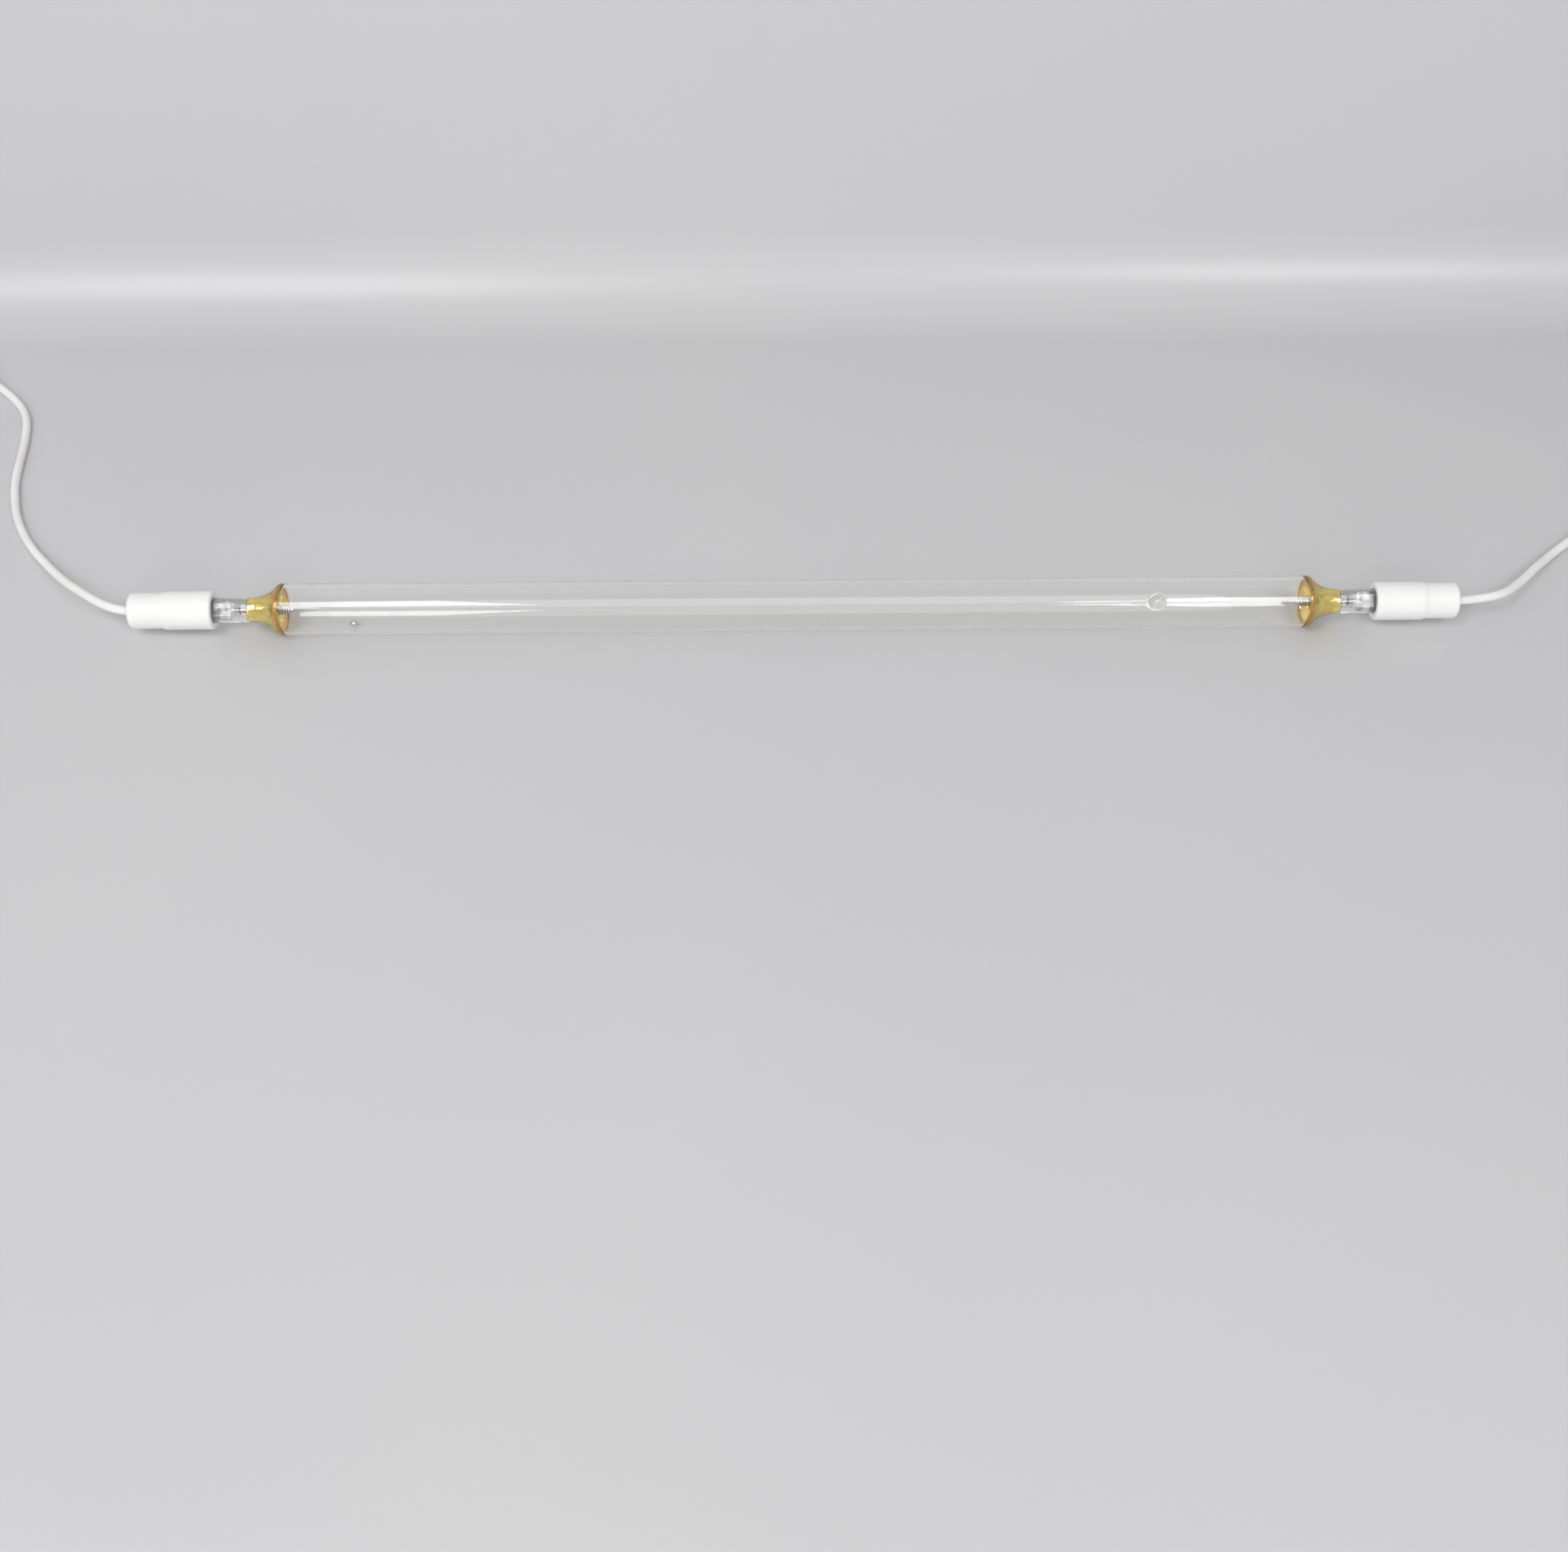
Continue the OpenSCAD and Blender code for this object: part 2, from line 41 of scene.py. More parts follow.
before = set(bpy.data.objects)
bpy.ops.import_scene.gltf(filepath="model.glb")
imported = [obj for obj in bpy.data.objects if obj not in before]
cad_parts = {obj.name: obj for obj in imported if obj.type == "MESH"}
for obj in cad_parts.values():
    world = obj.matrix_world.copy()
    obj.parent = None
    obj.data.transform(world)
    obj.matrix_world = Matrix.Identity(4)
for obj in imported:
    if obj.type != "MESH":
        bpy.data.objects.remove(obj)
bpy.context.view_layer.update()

MM = 0.001
SIDES = (("left", -1), ("right", 1))

# Routes of the leads in metres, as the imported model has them
ROUTES = {
    "left": (
        (-0.271, 0, 0.011), (-0.279, 0, 0.011), (-0.2865, 0.002, 0.011), (-0.294, 0.0065, 0.0107),
        (-0.302, 0.013, 0.0099), (-0.310, 0.0205, 0.0083), (-0.318, 0.0295, 0.0061),
        (-0.3255, 0.039, 0.0039), (-0.3325, 0.048, 0.0024), (-0.339, 0.0575, 0.0018),
        (-0.344, 0.0665, 0.0018), (-0.348, 0.0755, 0.0018), (-0.351, 0.085, 0.0018),
        (-0.3535, 0.0945, 0.0018), (-0.355, 0.104, 0.0018), (-0.356, 0.1135, 0.0018),
        (-0.357, 0.124, 0.0018), (-0.3585, 0.1335, 0.0018), (-0.3605, 0.1425, 0.0018),
        (-0.3645, 0.1515, 0.0018), (-0.370, 0.159, 0.0018), (-0.376, 0.1655, 0.0018),
        (-0.3825, 0.1715, 0.0023),
    ),
    "right": (
        (0.271, 0, 0.011), (0.279, 0, 0.011), (0.287, 0.0008, 0.011), (0.295, 0.003, 0.0105),
        (0.302, 0.007, 0.0095), (0.309, 0.0135, 0.008), (0.315, 0.020, 0.0065),
        (0.321, 0.027, 0.0049), (0.328, 0.0343, 0.0034), (0.335, 0.0412, 0.0024),
        (0.343, 0.048, 0.0022),
    ),
}
TAILS = {
    "left": (
        (-0.4251, 0.148, 0.0042), (-0.423, 0.1424, 0.003), (-0.4213, 0.138, 0.0027),
        (-0.4198, 0.134, 0.0027), (-0.4177, 0.1284, 0.0027),
    ),
    "right": (
        (0.3924, 0.0261, 0.0049), (0.3911, 0.0202, 0.0036), (0.3899, 0.0143, 0.0024),
        (0.3887, 0.0085, 0.0019), (0.3874, 0.0026, 0.0023), (0.3862, -0.0033, 0.0027),
        (0.3848, -0.0096, 0.0027),
    ),
}
# Each coil: middle, angle at which the lead comes in, way round, strands in the bundle, tie's angle
COILS = {
    "left": ((-0.413, 0.174), 46, 1, 3, 120),
    "right": ((0.376, 0.050), 132, -1, 4, 60),
}


# Sizes and colours -------------------------------------------------------------------------


def length(name, description, default, low=0.0, high=1.0):
    return FloatProperty(
        name=name, description=description, default=default, min=low, max=high,
        unit="LENGTH", subtype="DISTANCE", precision=5,
    )


def colour(name, description, default):
    return FloatVectorProperty(
        name=name, description=description, default=default, size=3, min=0.0, max=1.0,
        subtype="COLOR",
    )


class UVLAMP_PG_tube(bpy.types.PropertyGroup):
    """Sizes of the quartz envelope"""

    diameter: length("Tube diameter", "Outer diameter of the quartz tube", 0.022)
    wall: length("Wall", "Wall of the quartz tube", 0.0013)
    span: length("Span", "Length from shoulder to shoulder", 0.430)
    neck: length("Neck diameter", "Diameter of the neck and the seal", 0.0102)
    flare_start: length("Flare start", "From the shoulder plane to the flare", 0.0014)
    flare_length: length("Flare length", "From the start of the flare to the neck", 0.0126)
    shoulder_drop: length("Shoulder drop", "Inward drop of the rounded shoulder", 0.0009)
    flare_power: FloatProperty(
        name="Flare power", description="Higher is more sharply waisted", default=2.7,
        min=1.0, max=4.0,
    )
    seal_length: length("Seal length", "Length of the seal beyond the neck", 0.027)
    seal_flat: length("Seal flat", "Distance between the two pressed faces", 0.0086)
    seal_turn: FloatProperty(
        name="Seal turn", description="Turn of the pressed faces towards the front",
        default=math.radians(45), unit="ROTATION", subtype="ANGLE",
    )
    ripple: length("Ripple", "Height of the waves that pressing left in the seal", 0.00011)
    tip_inset: length("Tip inset", "From the right shoulder to the exhaust tip", 0.065)
    tip_height: length("Tip height", "Height of the exhaust tip above the tube", 0.0035)
    tip_radius: length("Tip radius", "Radius of the melted tip half way up", 0.0024)
    bead: length("Mercury drop", "Diameter of the drop of mercury", 0.0028)
    bead_inset: length("Drop inset", "From the left shoulder to the drop", 0.029)


class UVLAMP_PG_ends(bpy.types.PropertyGroup):
    """Sizes of the electrodes, foils and ceramic bases"""

    rod: length("Rod diameter", "Diameter of the tungsten rod", 0.002)
    rod_reach: length("Rod reach", "How far the rod stands into the tube", 0.005)
    wire: length("Winding wire", "Diameter of the wire wound on the rod", 0.00105)
    turns: IntProperty(name="Turns", description="Turns in the winding", default=6, min=2, max=9)
    foil_width: length("Foil width", "Width of the sealing foil", 0.006)
    base: length("Base diameter", "Diameter of the front section", 0.016)
    base_rear: length("Rear diameter", "Diameter of the rear section", 0.015)
    base_front_length: length("Front length", "Length of the front section", 0.021)
    base_rear_length: length("Rear length", "Length of the rear section", 0.014)
    base_inset: length("Base inset", "From the shoulder plane to the base", 0.028)
    socket: length("Socket diameter", "Bore that takes the seal", 0.0108)
    passage: length("Passage diameter", "Passage behind the bore", 0.0064)


class UVLAMP_PG_leads(bpy.types.PropertyGroup):
    """Sizes of the leads and their ends"""

    diameter: length("Lead diameter", "Diameter of the insulated lead", 0.0036)
    total: length("Lead length", "Length of each lead", 0.560)
    coil_radius: length("Coil radius", "Radius at the middle of the turns", 0.0185)
    turns_left: FloatProperty(
        name="Turns, left", description="Turns in the left coil", default=2.43, min=1, max=6
    )
    turns_right: FloatProperty(
        name="Turns, right", description="Turns in the right coil", default=3.4, min=1, max=6
    )
    braid_pitch: length("Braid pitch", "Length of one crossing of the braid", 0.0011)
    braid_strands: IntProperty(
        name="Braid strands", description="Strands round the lead", default=12, min=4, max=32
    )


class UVLAMP_PG_finish(bpy.types.PropertyGroup):
    """Colours of the finishes"""

    quartz: colour("Quartz", "Tint of the clear fused quartz", (0.995, 0.995, 0.99))
    gold: colour("Gold lustre", "Fired gold on the shoulders", (1.0, 0.80, 0.28))
    ceramic: colour("Ceramic", "Unglazed steatite", (0.93, 0.93, 0.915))
    cement: colour("Cement", "Cement in the base", (0.62, 0.61, 0.58))
    lead: colour("Lead", "Braided insulation", (0.97, 0.965, 0.95))
    tungsten: colour("Tungsten", "Rod and winding", (0.62, 0.61, 0.60))
    molybdenum: colour("Molybdenum", "Foil and pin", (0.34, 0.34, 0.35))
    nickel: colour("Nickel", "Terminals and splices", (0.66, 0.64, 0.60))
    copper: colour("Tinned copper", "Bare ends of the core", (0.66, 0.5, 0.36))
    plastic: colour("Plastic", "Ties and sleeves", (0.80, 0.80, 0.77))


class UVLAMP_PG_stage(bpy.types.PropertyGroup):
    """The floor and the light"""

    floor: colour("Floor", "Colour of the sheet that the lamp lies on", (0.62, 0.62, 0.625))
    left_level: FloatProperty(
        name="Left light", description="Power of the left softbox", default=9.6,
        min=0.0, max=200.0, unit="POWER",
    )
    right_level: FloatProperty(
        name="Right light", description="Power of the right softbox", default=8.6,
        min=0.0, max=200.0, unit="POWER",
    )
    low_level: FloatProperty(
        name="Low left light", description="Power of the small softbox below the left one",
        default=2.1, min=0.0, max=200.0, unit="POWER",
    )
    window_level: FloatProperty(
        name="Window light", description="Power of the window far to the left", default=7.2,
        min=0.0, max=200.0, unit="POWER",
    )
    fill_level: FloatProperty(
        name="Fill light", description="Power of the low fill at the front", default=9.0,
        min=0.0, max=200.0, unit="POWER",
    )
    world_level: FloatProperty(
        name="Room light", description="Strength of the even light all round", default=0.29,
        min=0.0, max=2.0,
    )
    walls_level: FloatProperty(
        name="Pale walls", description="How bright the room looks, also in metal and glass",
        default=0.6, min=0.0, max=1.0,
    )


def tube_sizes():
    return bpy.context.scene.uv_lamp_tube


def end_sizes():
    return bpy.context.scene.uv_lamp_ends


def lead_sizes():
    return bpy.context.scene.uv_lamp_leads


def finishes():
    return bpy.context.scene.uv_lamp_finish


def stage_settings():
    return bpy.context.scene.uv_lamp_stage


# Node groups shared by the finishes --------------------------------------------------------


def add_node(tree, kind, place, **values):
    node = tree.nodes.new(kind)
    node.location = place
    for key, value in values.items():
        if key in node.inputs:
            node.inputs[key].default_value = value
        else:
            setattr(node, key, value)
    return node


def new_group(name, inputs, outputs):
    """An empty node group with named sockets, each (name, kind, default)"""
    tree = bpy.data.node_groups.new(name, "ShaderNodeTree")
    for label, kind, default in inputs:
        socket = tree.interface.new_socket(label, in_out="INPUT", socket_type=kind)
        if default is not None:
            socket.default_value = default
    for label, kind in outputs:
        tree.interface.new_socket(label, in_out="OUTPUT", socket_type=kind)
    source = tree.nodes.new("NodeGroupInput")
    source.location = (-900, 0)
    sink = tree.nodes.new("NodeGroupOutput")
    sink.location = (600, 0)
    return tree, source, sink


def mottle_group():
    """Cloudy change of colour and roughness, with a fine grain for a bump"""
    name = "Mottle"
    if name in bpy.data.node_groups:
        return bpy.data.node_groups[name]
    tree, source, sink = new_group(
        name,
        [
            ("Vector", "NodeSocketVector", None),
            ("Cloud Scale", "NodeSocketFloat", 120.0),
            ("Grain Scale", "NodeSocketFloat", 1500.0),
            ("Light", "NodeSocketColor", (1, 1, 1, 1)),
            ("Dark", "NodeSocketColor", (0.8, 0.8, 0.8, 1)),
            ("Smooth", "NodeSocketFloat", 0.3),
            ("Rough", "NodeSocketFloat", 0.5),
        ],
        [("Color", "NodeSocketColor"), ("Roughness", "NodeSocketFloat"),
         ("Height", "NodeSocketFloat")],
    )
    links = tree.links
    cloud = add_node(tree, "ShaderNodeTexNoise", (-600, 200), Detail=3.0)
    grain = add_node(tree, "ShaderNodeTexNoise", (-600, -200), Detail=2.0)
    links.new(source.outputs["Vector"], cloud.inputs["Vector"])
    links.new(source.outputs["Cloud Scale"], cloud.inputs["Scale"])
    links.new(source.outputs["Vector"], grain.inputs["Vector"])
    links.new(source.outputs["Grain Scale"], grain.inputs["Scale"])
    spread = add_node(tree, "ShaderNodeMapRange", (-350, 200))
    spread.inputs["From Min"].default_value = 0.35
    spread.inputs["From Max"].default_value = 0.65
    links.new(cloud.outputs["Fac"], spread.inputs["Value"])
    tint = add_node(tree, "ShaderNodeMix", (-100, 200), data_type="RGBA")
    links.new(spread.outputs["Result"], tint.inputs[0])
    links.new(source.outputs["Light"], tint.inputs[6])
    links.new(source.outputs["Dark"], tint.inputs[7])
    rough = add_node(tree, "ShaderNodeMix", (-100, -50), data_type="FLOAT")
    links.new(spread.outputs["Result"], rough.inputs[0])
    links.new(source.outputs["Smooth"], rough.inputs[2])
    links.new(source.outputs["Rough"], rough.inputs[3])
    links.new(tint.outputs[2], sink.inputs["Color"])
    links.new(rough.outputs[0], sink.inputs["Roughness"])
    links.new(grain.outputs["Fac"], sink.inputs["Height"])
    return tree


def braid_group():
    """Two families of strands that cross round a lead, from its own UV map"""
    name = "Braid"
    if name in bpy.data.node_groups:
        return bpy.data.node_groups[name]
    tree, source, sink = new_group(
        name,
        [
            ("Vector", "NodeSocketVector", None),
            ("Along", "NodeSocketFloat", 500.0),
            ("Round", "NodeSocketFloat", 12.0),
        ],
        [("Mask", "NodeSocketFloat"), ("Height", "NodeSocketFloat")],
    )
    links = tree.links
    parts = add_node(tree, "ShaderNodeSeparateXYZ", (-700, 0))
    links.new(source.outputs["Vector"], parts.inputs["Vector"])
    along = add_node(tree, "ShaderNodeMath", (-500, 150), operation="MULTIPLY")
    links.new(parts.outputs["X"], along.inputs[0])
    links.new(source.outputs["Along"], along.inputs[1])
    around = add_node(tree, "ShaderNodeMath", (-500, -50), operation="MULTIPLY")
    links.new(parts.outputs["Y"], around.inputs[0])
    links.new(source.outputs["Round"], around.inputs[1])
    waves = []
    for row, operation in enumerate(("ADD", "SUBTRACT")):
        lean = add_node(tree, "ShaderNodeMath", (-300, 150 - 200 * row), operation=operation)
        links.new(along.outputs[0], lean.inputs[0])
        links.new(around.outputs[0], lean.inputs[1])
        turn = add_node(tree, "ShaderNodeMath", (-150, 150 - 200 * row), operation="MULTIPLY")
        turn.inputs[1].default_value = math.pi
        links.new(lean.outputs[0], turn.inputs[0])
        wave = add_node(tree, "ShaderNodeMath", (0, 150 - 200 * row), operation="SINE")
        links.new(turn.outputs[0], wave.inputs[0])
        waves.append(wave)
    cross = add_node(tree, "ShaderNodeMath", (150, 50), operation="MULTIPLY")
    links.new(waves[0].outputs[0], cross.inputs[0])
    links.new(waves[1].outputs[0], cross.inputs[1])
    size = add_node(tree, "ShaderNodeMath", (300, 50), operation="ABSOLUTE")
    links.new(cross.outputs[0], size.inputs[0])
    root = add_node(tree, "ShaderNodeMath", (450, 50), operation="POWER")
    root.inputs[1].default_value = 0.5
    links.new(size.outputs[0], root.inputs[0])
    # the Mask carries the painted shade between the strands, the Height their bump
    links.new(size.outputs[0], sink.inputs["Mask"])
    links.new(root.outputs[0], sink.inputs["Height"])
    return tree


# Finishes ----------------------------------------------------------------------------------


def new_finish(name):
    """A material with its Principled shader, and Object coordinates"""
    found = bpy.data.materials.get(name)
    if found:
        return found, None, None
    material = bpy.data.materials.new(name)
    material.use_nodes = True
    tree = material.node_tree
    shader = tree.nodes["Principled BSDF"]
    return material, tree, shader


def shade(rgb, factor):
    return (*[min(1.0, c * factor) for c in rgb], 1.0)


def mottled_finish(name, rgb, dark=0.9, smooth=0.3, rough=0.5, cloud=120.0, grain=1500.0,
                   bump=0.0, metal=0.0):
    """A plain body colour with cloudy tone, and a grain for its bump"""
    material, tree, shader = new_finish(name)
    if tree is None:
        return material
    coordinates = add_node(tree, "ShaderNodeTexCoord", (-900, 0))
    group = add_node(tree, "ShaderNodeGroup", (-600, 0), node_tree=mottle_group())
    group.inputs["Cloud Scale"].default_value = cloud
    group.inputs["Grain Scale"].default_value = grain
    group.inputs["Light"].default_value = shade(rgb, 1.0)
    group.inputs["Dark"].default_value = shade(rgb, dark)
    group.inputs["Smooth"].default_value = smooth
    group.inputs["Rough"].default_value = rough
    tree.links.new(coordinates.outputs["Object"], group.inputs["Vector"])
    tree.links.new(group.outputs["Color"], shader.inputs["Base Color"])
    tree.links.new(group.outputs["Roughness"], shader.inputs["Roughness"])
    shader.inputs["Metallic"].default_value = metal
    if bump:
        relief = add_node(tree, "ShaderNodeBump", (-250, -250))
        relief.inputs["Strength"].default_value = 0.6
        relief.inputs["Distance"].default_value = bump
        tree.links.new(group.outputs["Height"], relief.inputs["Height"])
        tree.links.new(relief.outputs["Normal"], shader.inputs["Normal"])
    return material


def quartz_finish():
    """Clear fused quartz, which lets the lamps' light through to what is behind it"""
    material, tree, shader = new_finish("Clear quartz")
    if tree is None:
        return material
    tint = finishes().quartz
    shader.inputs["Base Color"].default_value = (*tint, 1.0)
    shader.inputs["Transmission Weight"].default_value = 1.0
    shader.inputs["IOR"].default_value = 1.458
    shader.inputs["Roughness"].default_value = 0.0
    output = tree.nodes["Material Output"]
    output.location = (700, 0)
    rays = add_node(tree, "ShaderNodeLightPath", (100, 350))
    through = add_node(tree, "ShaderNodeBsdfTransparent", (100, -450))
    through.inputs["Color"].default_value = (0.97, 0.97, 0.965, 1.0)
    # light for what lies behind comes straight through, and is counted once
    unseen = add_node(tree, "ShaderNodeMath", (280, 350), operation="MAXIMUM")
    tree.links.new(rays.outputs["Is Shadow Ray"], unseen.inputs[0])
    tree.links.new(rays.outputs["Is Diffuse Ray"], unseen.inputs[1])
    # light that is caught in the wall finds its way out, soonest at the shoulders and the
    # tip, so that nothing turns black
    coordinates = add_node(tree, "ShaderNodeTexCoord", (-700, 700))
    parts = add_node(tree, "ShaderNodeSeparateXYZ", (-500, 700))
    tree.links.new(coordinates.outputs["Object"], parts.inputs["Vector"])
    away = add_node(tree, "ShaderNodeMath", (-330, 700), operation="ABSOLUTE")
    tree.links.new(parts.outputs["X"], away.inputs[0])
    shoulder = add_node(tree, "ShaderNodeMath", (-160, 700), operation="GREATER_THAN")
    shoulder.inputs[1].default_value = tube_sizes().span / 2 - 3 * MM
    tree.links.new(away.outputs[0], shoulder.inputs[0])
    tip = add_node(tree, "ShaderNodeMath", (-160, 880), operation="COMPARE")
    tip.inputs[1].default_value = tube_sizes().span / 2 - tube_sizes().tip_inset
    tip.inputs[2].default_value = 9 * MM
    tree.links.new(parts.outputs["X"], tip.inputs[0])
    short = add_node(tree, "ShaderNodeMath", (20, 880), operation="MAXIMUM")
    tree.links.new(shoulder.outputs[0], short.inputs[0])
    tree.links.new(tip.outputs[0], short.inputs[1])
    depth = add_node(tree, "ShaderNodeMath", (20, 700), operation="MULTIPLY_ADD")
    depth.inputs[1].default_value = -2.0
    depth.inputs[2].default_value = 6.5
    tree.links.new(short.outputs[0], depth.inputs[0])
    caught = add_node(tree, "ShaderNodeMath", (280, 550), operation="GREATER_THAN")
    tree.links.new(rays.outputs["Ray Depth"], caught.inputs[0])
    tree.links.new(depth.outputs[0], caught.inputs[1])
    clear = add_node(tree, "ShaderNodeMath", (450, 350), operation="MAXIMUM")
    tree.links.new(unseen.outputs[0], clear.inputs[0])
    tree.links.new(caught.outputs[0], clear.inputs[1])
    either = add_node(tree, "ShaderNodeMixShader", (450, 0))
    tree.links.new(clear.outputs[0], either.inputs[0])
    tree.links.new(shader.outputs["BSDF"], either.inputs[1])
    tree.links.new(through.outputs["BSDF"], either.inputs[2])
    tree.links.new(either.outputs["Shader"], output.inputs["Surface"])
    return material


def gold_finish():
    """Fired gold lustre, brushed on thin enough to let a little light through"""
    material, tree, shader = new_finish("Gold lustre")
    if tree is None:
        return material
    rgb = finishes().gold
    coordinates = add_node(tree, "ShaderNodeTexCoord", (-900, 0))
    group = add_node(tree, "ShaderNodeGroup", (-600, 0), node_tree=mottle_group())
    group.inputs["Cloud Scale"].default_value = 260.0
    group.inputs["Grain Scale"].default_value = 700.0
    group.inputs["Light"].default_value = shade(rgb, 1.08)
    group.inputs["Dark"].default_value = (rgb[0] * 0.93, rgb[1] * 0.88, rgb[2] * 0.72, 1.0)
    group.inputs["Smooth"].default_value = 0.04
    group.inputs["Rough"].default_value = 0.12
    tree.links.new(coordinates.outputs["Object"], group.inputs["Vector"])
    # painted shade: the lustre's colour turns brown along its edge on the shoulder, for the dark
    # line that the rounded shoulder shows there
    parts = add_node(tree, "ShaderNodeSeparateXYZ", (-600, 500))
    tree.links.new(coordinates.outputs["Object"], parts.inputs["Vector"])
    away = add_node(tree, "ShaderNodeMath", (-430, 500), operation="ABSOLUTE")
    tree.links.new(parts.outputs["X"], away.inputs[0])
    edge = add_node(tree, "ShaderNodeMapRange", (-260, 500))
    edge.inputs["From Min"].default_value = tube_sizes().span / 2 + 0.3 * MM
    edge.inputs["From Max"].default_value = tube_sizes().span / 2 + 1.6 * MM
    edge.inputs["To Min"].default_value = 1.0
    edge.inputs["To Max"].default_value = 0.0
    tree.links.new(away.outputs[0], edge.inputs["Value"])
    painted_shoulder_line = add_node(tree, "ShaderNodeMix", (-100, 400), data_type="RGBA")
    tree.links.new(edge.outputs["Result"], painted_shoulder_line.inputs[0])
    tree.links.new(group.outputs["Color"], painted_shoulder_line.inputs[6])
    painted_shoulder_line.inputs[7].default_value = (rgb[0] * 0.75, rgb[1] * 0.5, rgb[2] * 0.45, 1.0)
    tree.links.new(painted_shoulder_line.outputs[2], shader.inputs["Base Color"])
    tree.links.new(group.outputs["Roughness"], shader.inputs["Roughness"])
    shader.inputs["Metallic"].default_value = 1.0
    relief = add_node(tree, "ShaderNodeBump", (-250, -250))
    relief.inputs["Strength"].default_value = 0.4
    relief.inputs["Distance"].default_value = 0.00025
    tree.links.new(group.outputs["Height"], relief.inputs["Height"])
    tree.links.new(relief.outputs["Normal"], shader.inputs["Normal"])
    thin = add_node(tree, "ShaderNodeMapRange", (-250, 250))
    thin.inputs["To Min"].default_value = 0.88
    thin.inputs["To Max"].default_value = 0.7
    tree.links.new(group.outputs["Height"], thin.inputs["Value"])
    tree.links.new(thin.outputs["Result"], shader.inputs["Alpha"])
    return material


def lead_finish():
    """White glass-fibre braid over silicone"""
    material, tree, shader = new_finish("Braided insulation")
    if tree is None:
        return material
    rgb = finishes().lead
    sizes = lead_sizes()
    coordinates = add_node(tree, "ShaderNodeTexCoord", (-1200, 0))
    braid = add_node(tree, "ShaderNodeGroup", (-900, 100), node_tree=braid_group())
    braid.inputs["Along"].default_value = sizes.total / sizes.braid_pitch
    braid.inputs["Round"].default_value = float(sizes.braid_strands)
    tree.links.new(coordinates.outputs["UV"], braid.inputs["Vector"])
    dirt = add_node(tree, "ShaderNodeGroup", (-900, -250), node_tree=mottle_group())
    dirt.inputs["Cloud Scale"].default_value = 60.0
    dirt.inputs["Light"].default_value = shade(rgb, 1.04)
    dirt.inputs["Dark"].default_value = (rgb[0] * 0.955, rgb[1] * 0.945, rgb[2] * 0.92, 1.0)
    dirt.inputs["Smooth"].default_value = 0.62
    dirt.inputs["Rough"].default_value = 0.8
    tree.links.new(coordinates.outputs["Object"], dirt.inputs["Vector"])
    # painted shade: the braid's colour is darkened where its strands part, for the shade in the
    # crevices between them
    braid_crevice_shade = add_node(tree, "ShaderNodeMix", (-500, 100), data_type="RGBA", blend_type="MULTIPLY")
    fade = add_node(tree, "ShaderNodeMapRange", (-700, 200))
    fade.inputs["From Max"].default_value = 0.45
    fade.inputs["To Min"].default_value = 0.88
    fade.inputs["To Max"].default_value = 1.0
    tree.links.new(braid.outputs["Mask"], fade.inputs["Value"])
    braid_crevice_shade.inputs[0].default_value = 1.0
    tree.links.new(dirt.outputs["Color"], braid_crevice_shade.inputs[6])
    tree.links.new(fade.outputs["Result"], braid_crevice_shade.inputs[7])
    tree.links.new(braid_crevice_shade.outputs[2], shader.inputs["Base Color"])
    tree.links.new(dirt.outputs["Roughness"], shader.inputs["Roughness"])
    relief = add_node(tree, "ShaderNodeBump", (-400, -300))
    relief.inputs["Strength"].default_value = 0.7
    relief.inputs["Distance"].default_value = 0.00012
    tree.links.new(braid.outputs["Height"], relief.inputs["Height"])
    tree.links.new(relief.outputs["Normal"], shader.inputs["Normal"])
    shader.inputs["Sheen Weight"].default_value = 0.15
    return material


def ceramic_finish():
    return mottled_finish("Steatite", finishes().ceramic, dark=0.965, smooth=0.55, rough=0.72,
                          cloud=90.0, grain=2600.0, bump=0.00005)


def cement_finish():
    return mottled_finish("Cement", finishes().cement, dark=0.75, smooth=0.8, rough=0.95,
                          cloud=500.0, grain=1800.0, bump=0.0003)


def tungsten_finish():
    return mottled_finish("Tungsten", finishes().tungsten, dark=0.75, smooth=0.18, rough=0.32,
                          cloud=700.0, grain=3000.0, bump=0.00003, metal=1.0)


def molybdenum_finish():
    return mottled_finish("Molybdenum", finishes().molybdenum, dark=0.72, smooth=0.42,
                          rough=0.6, cloud=500.0, grain=1200.0, bump=0.00005, metal=1.0)


def nickel_finish():
    return mottled_finish("Nickel plate", finishes().nickel, dark=0.8, smooth=0.22, rough=0.38,
                          cloud=300.0, grain=2200.0, bump=0.00004, metal=1.0)


def copper_finish():
    return mottled_finish("Tinned copper", finishes().copper, dark=0.75, smooth=0.3, rough=0.45,
                          cloud=900.0, grain=2600.0, bump=0.00006, metal=1.0)


def plastic_finish():
    return mottled_finish("White plastic", finishes().plastic, dark=0.95, smooth=0.32,
                          rough=0.45, cloud=150.0, grain=1500.0, bump=0.00003)


def mercury_finish():
    return mottled_finish("Mercury", (0.64, 0.64, 0.65), dark=0.94, smooth=0.02, rough=0.05,
                          cloud=400.0, metal=1.0)


# Mesh helpers ------------------------------------------------------------------------------


def finish_piece(mesh_or_bm, name, material, slot, *nodes):
    """Makes the piece's object, which rides on the lamp's body and stands for its CAD nodes"""
    if isinstance(mesh_or_bm, bmesh.types.BMesh):
        mesh = bpy.data.meshes.new(name)
        for face in mesh_or_bm.faces:
            face.smooth = True
        mesh_or_bm.to_mesh(mesh)
        mesh_or_bm.free()
    else:
        mesh = mesh_or_bm
    piece = bpy.data.objects.new(name, mesh)
    bpy.context.scene.collection.objects.link(piece)
    piece.data.materials.append(material)
    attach(piece, "root")
    if nodes:
        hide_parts(*nodes)
    return piece


def dress_node(node, material):
    """Gives a CAD node that is kept as it is its material"""
    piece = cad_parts.get(node)
    if piece is None:
        raise RuntimeError(f"no CAD node {node}")
    piece.data.materials.clear()
    piece.data.materials.append(material)


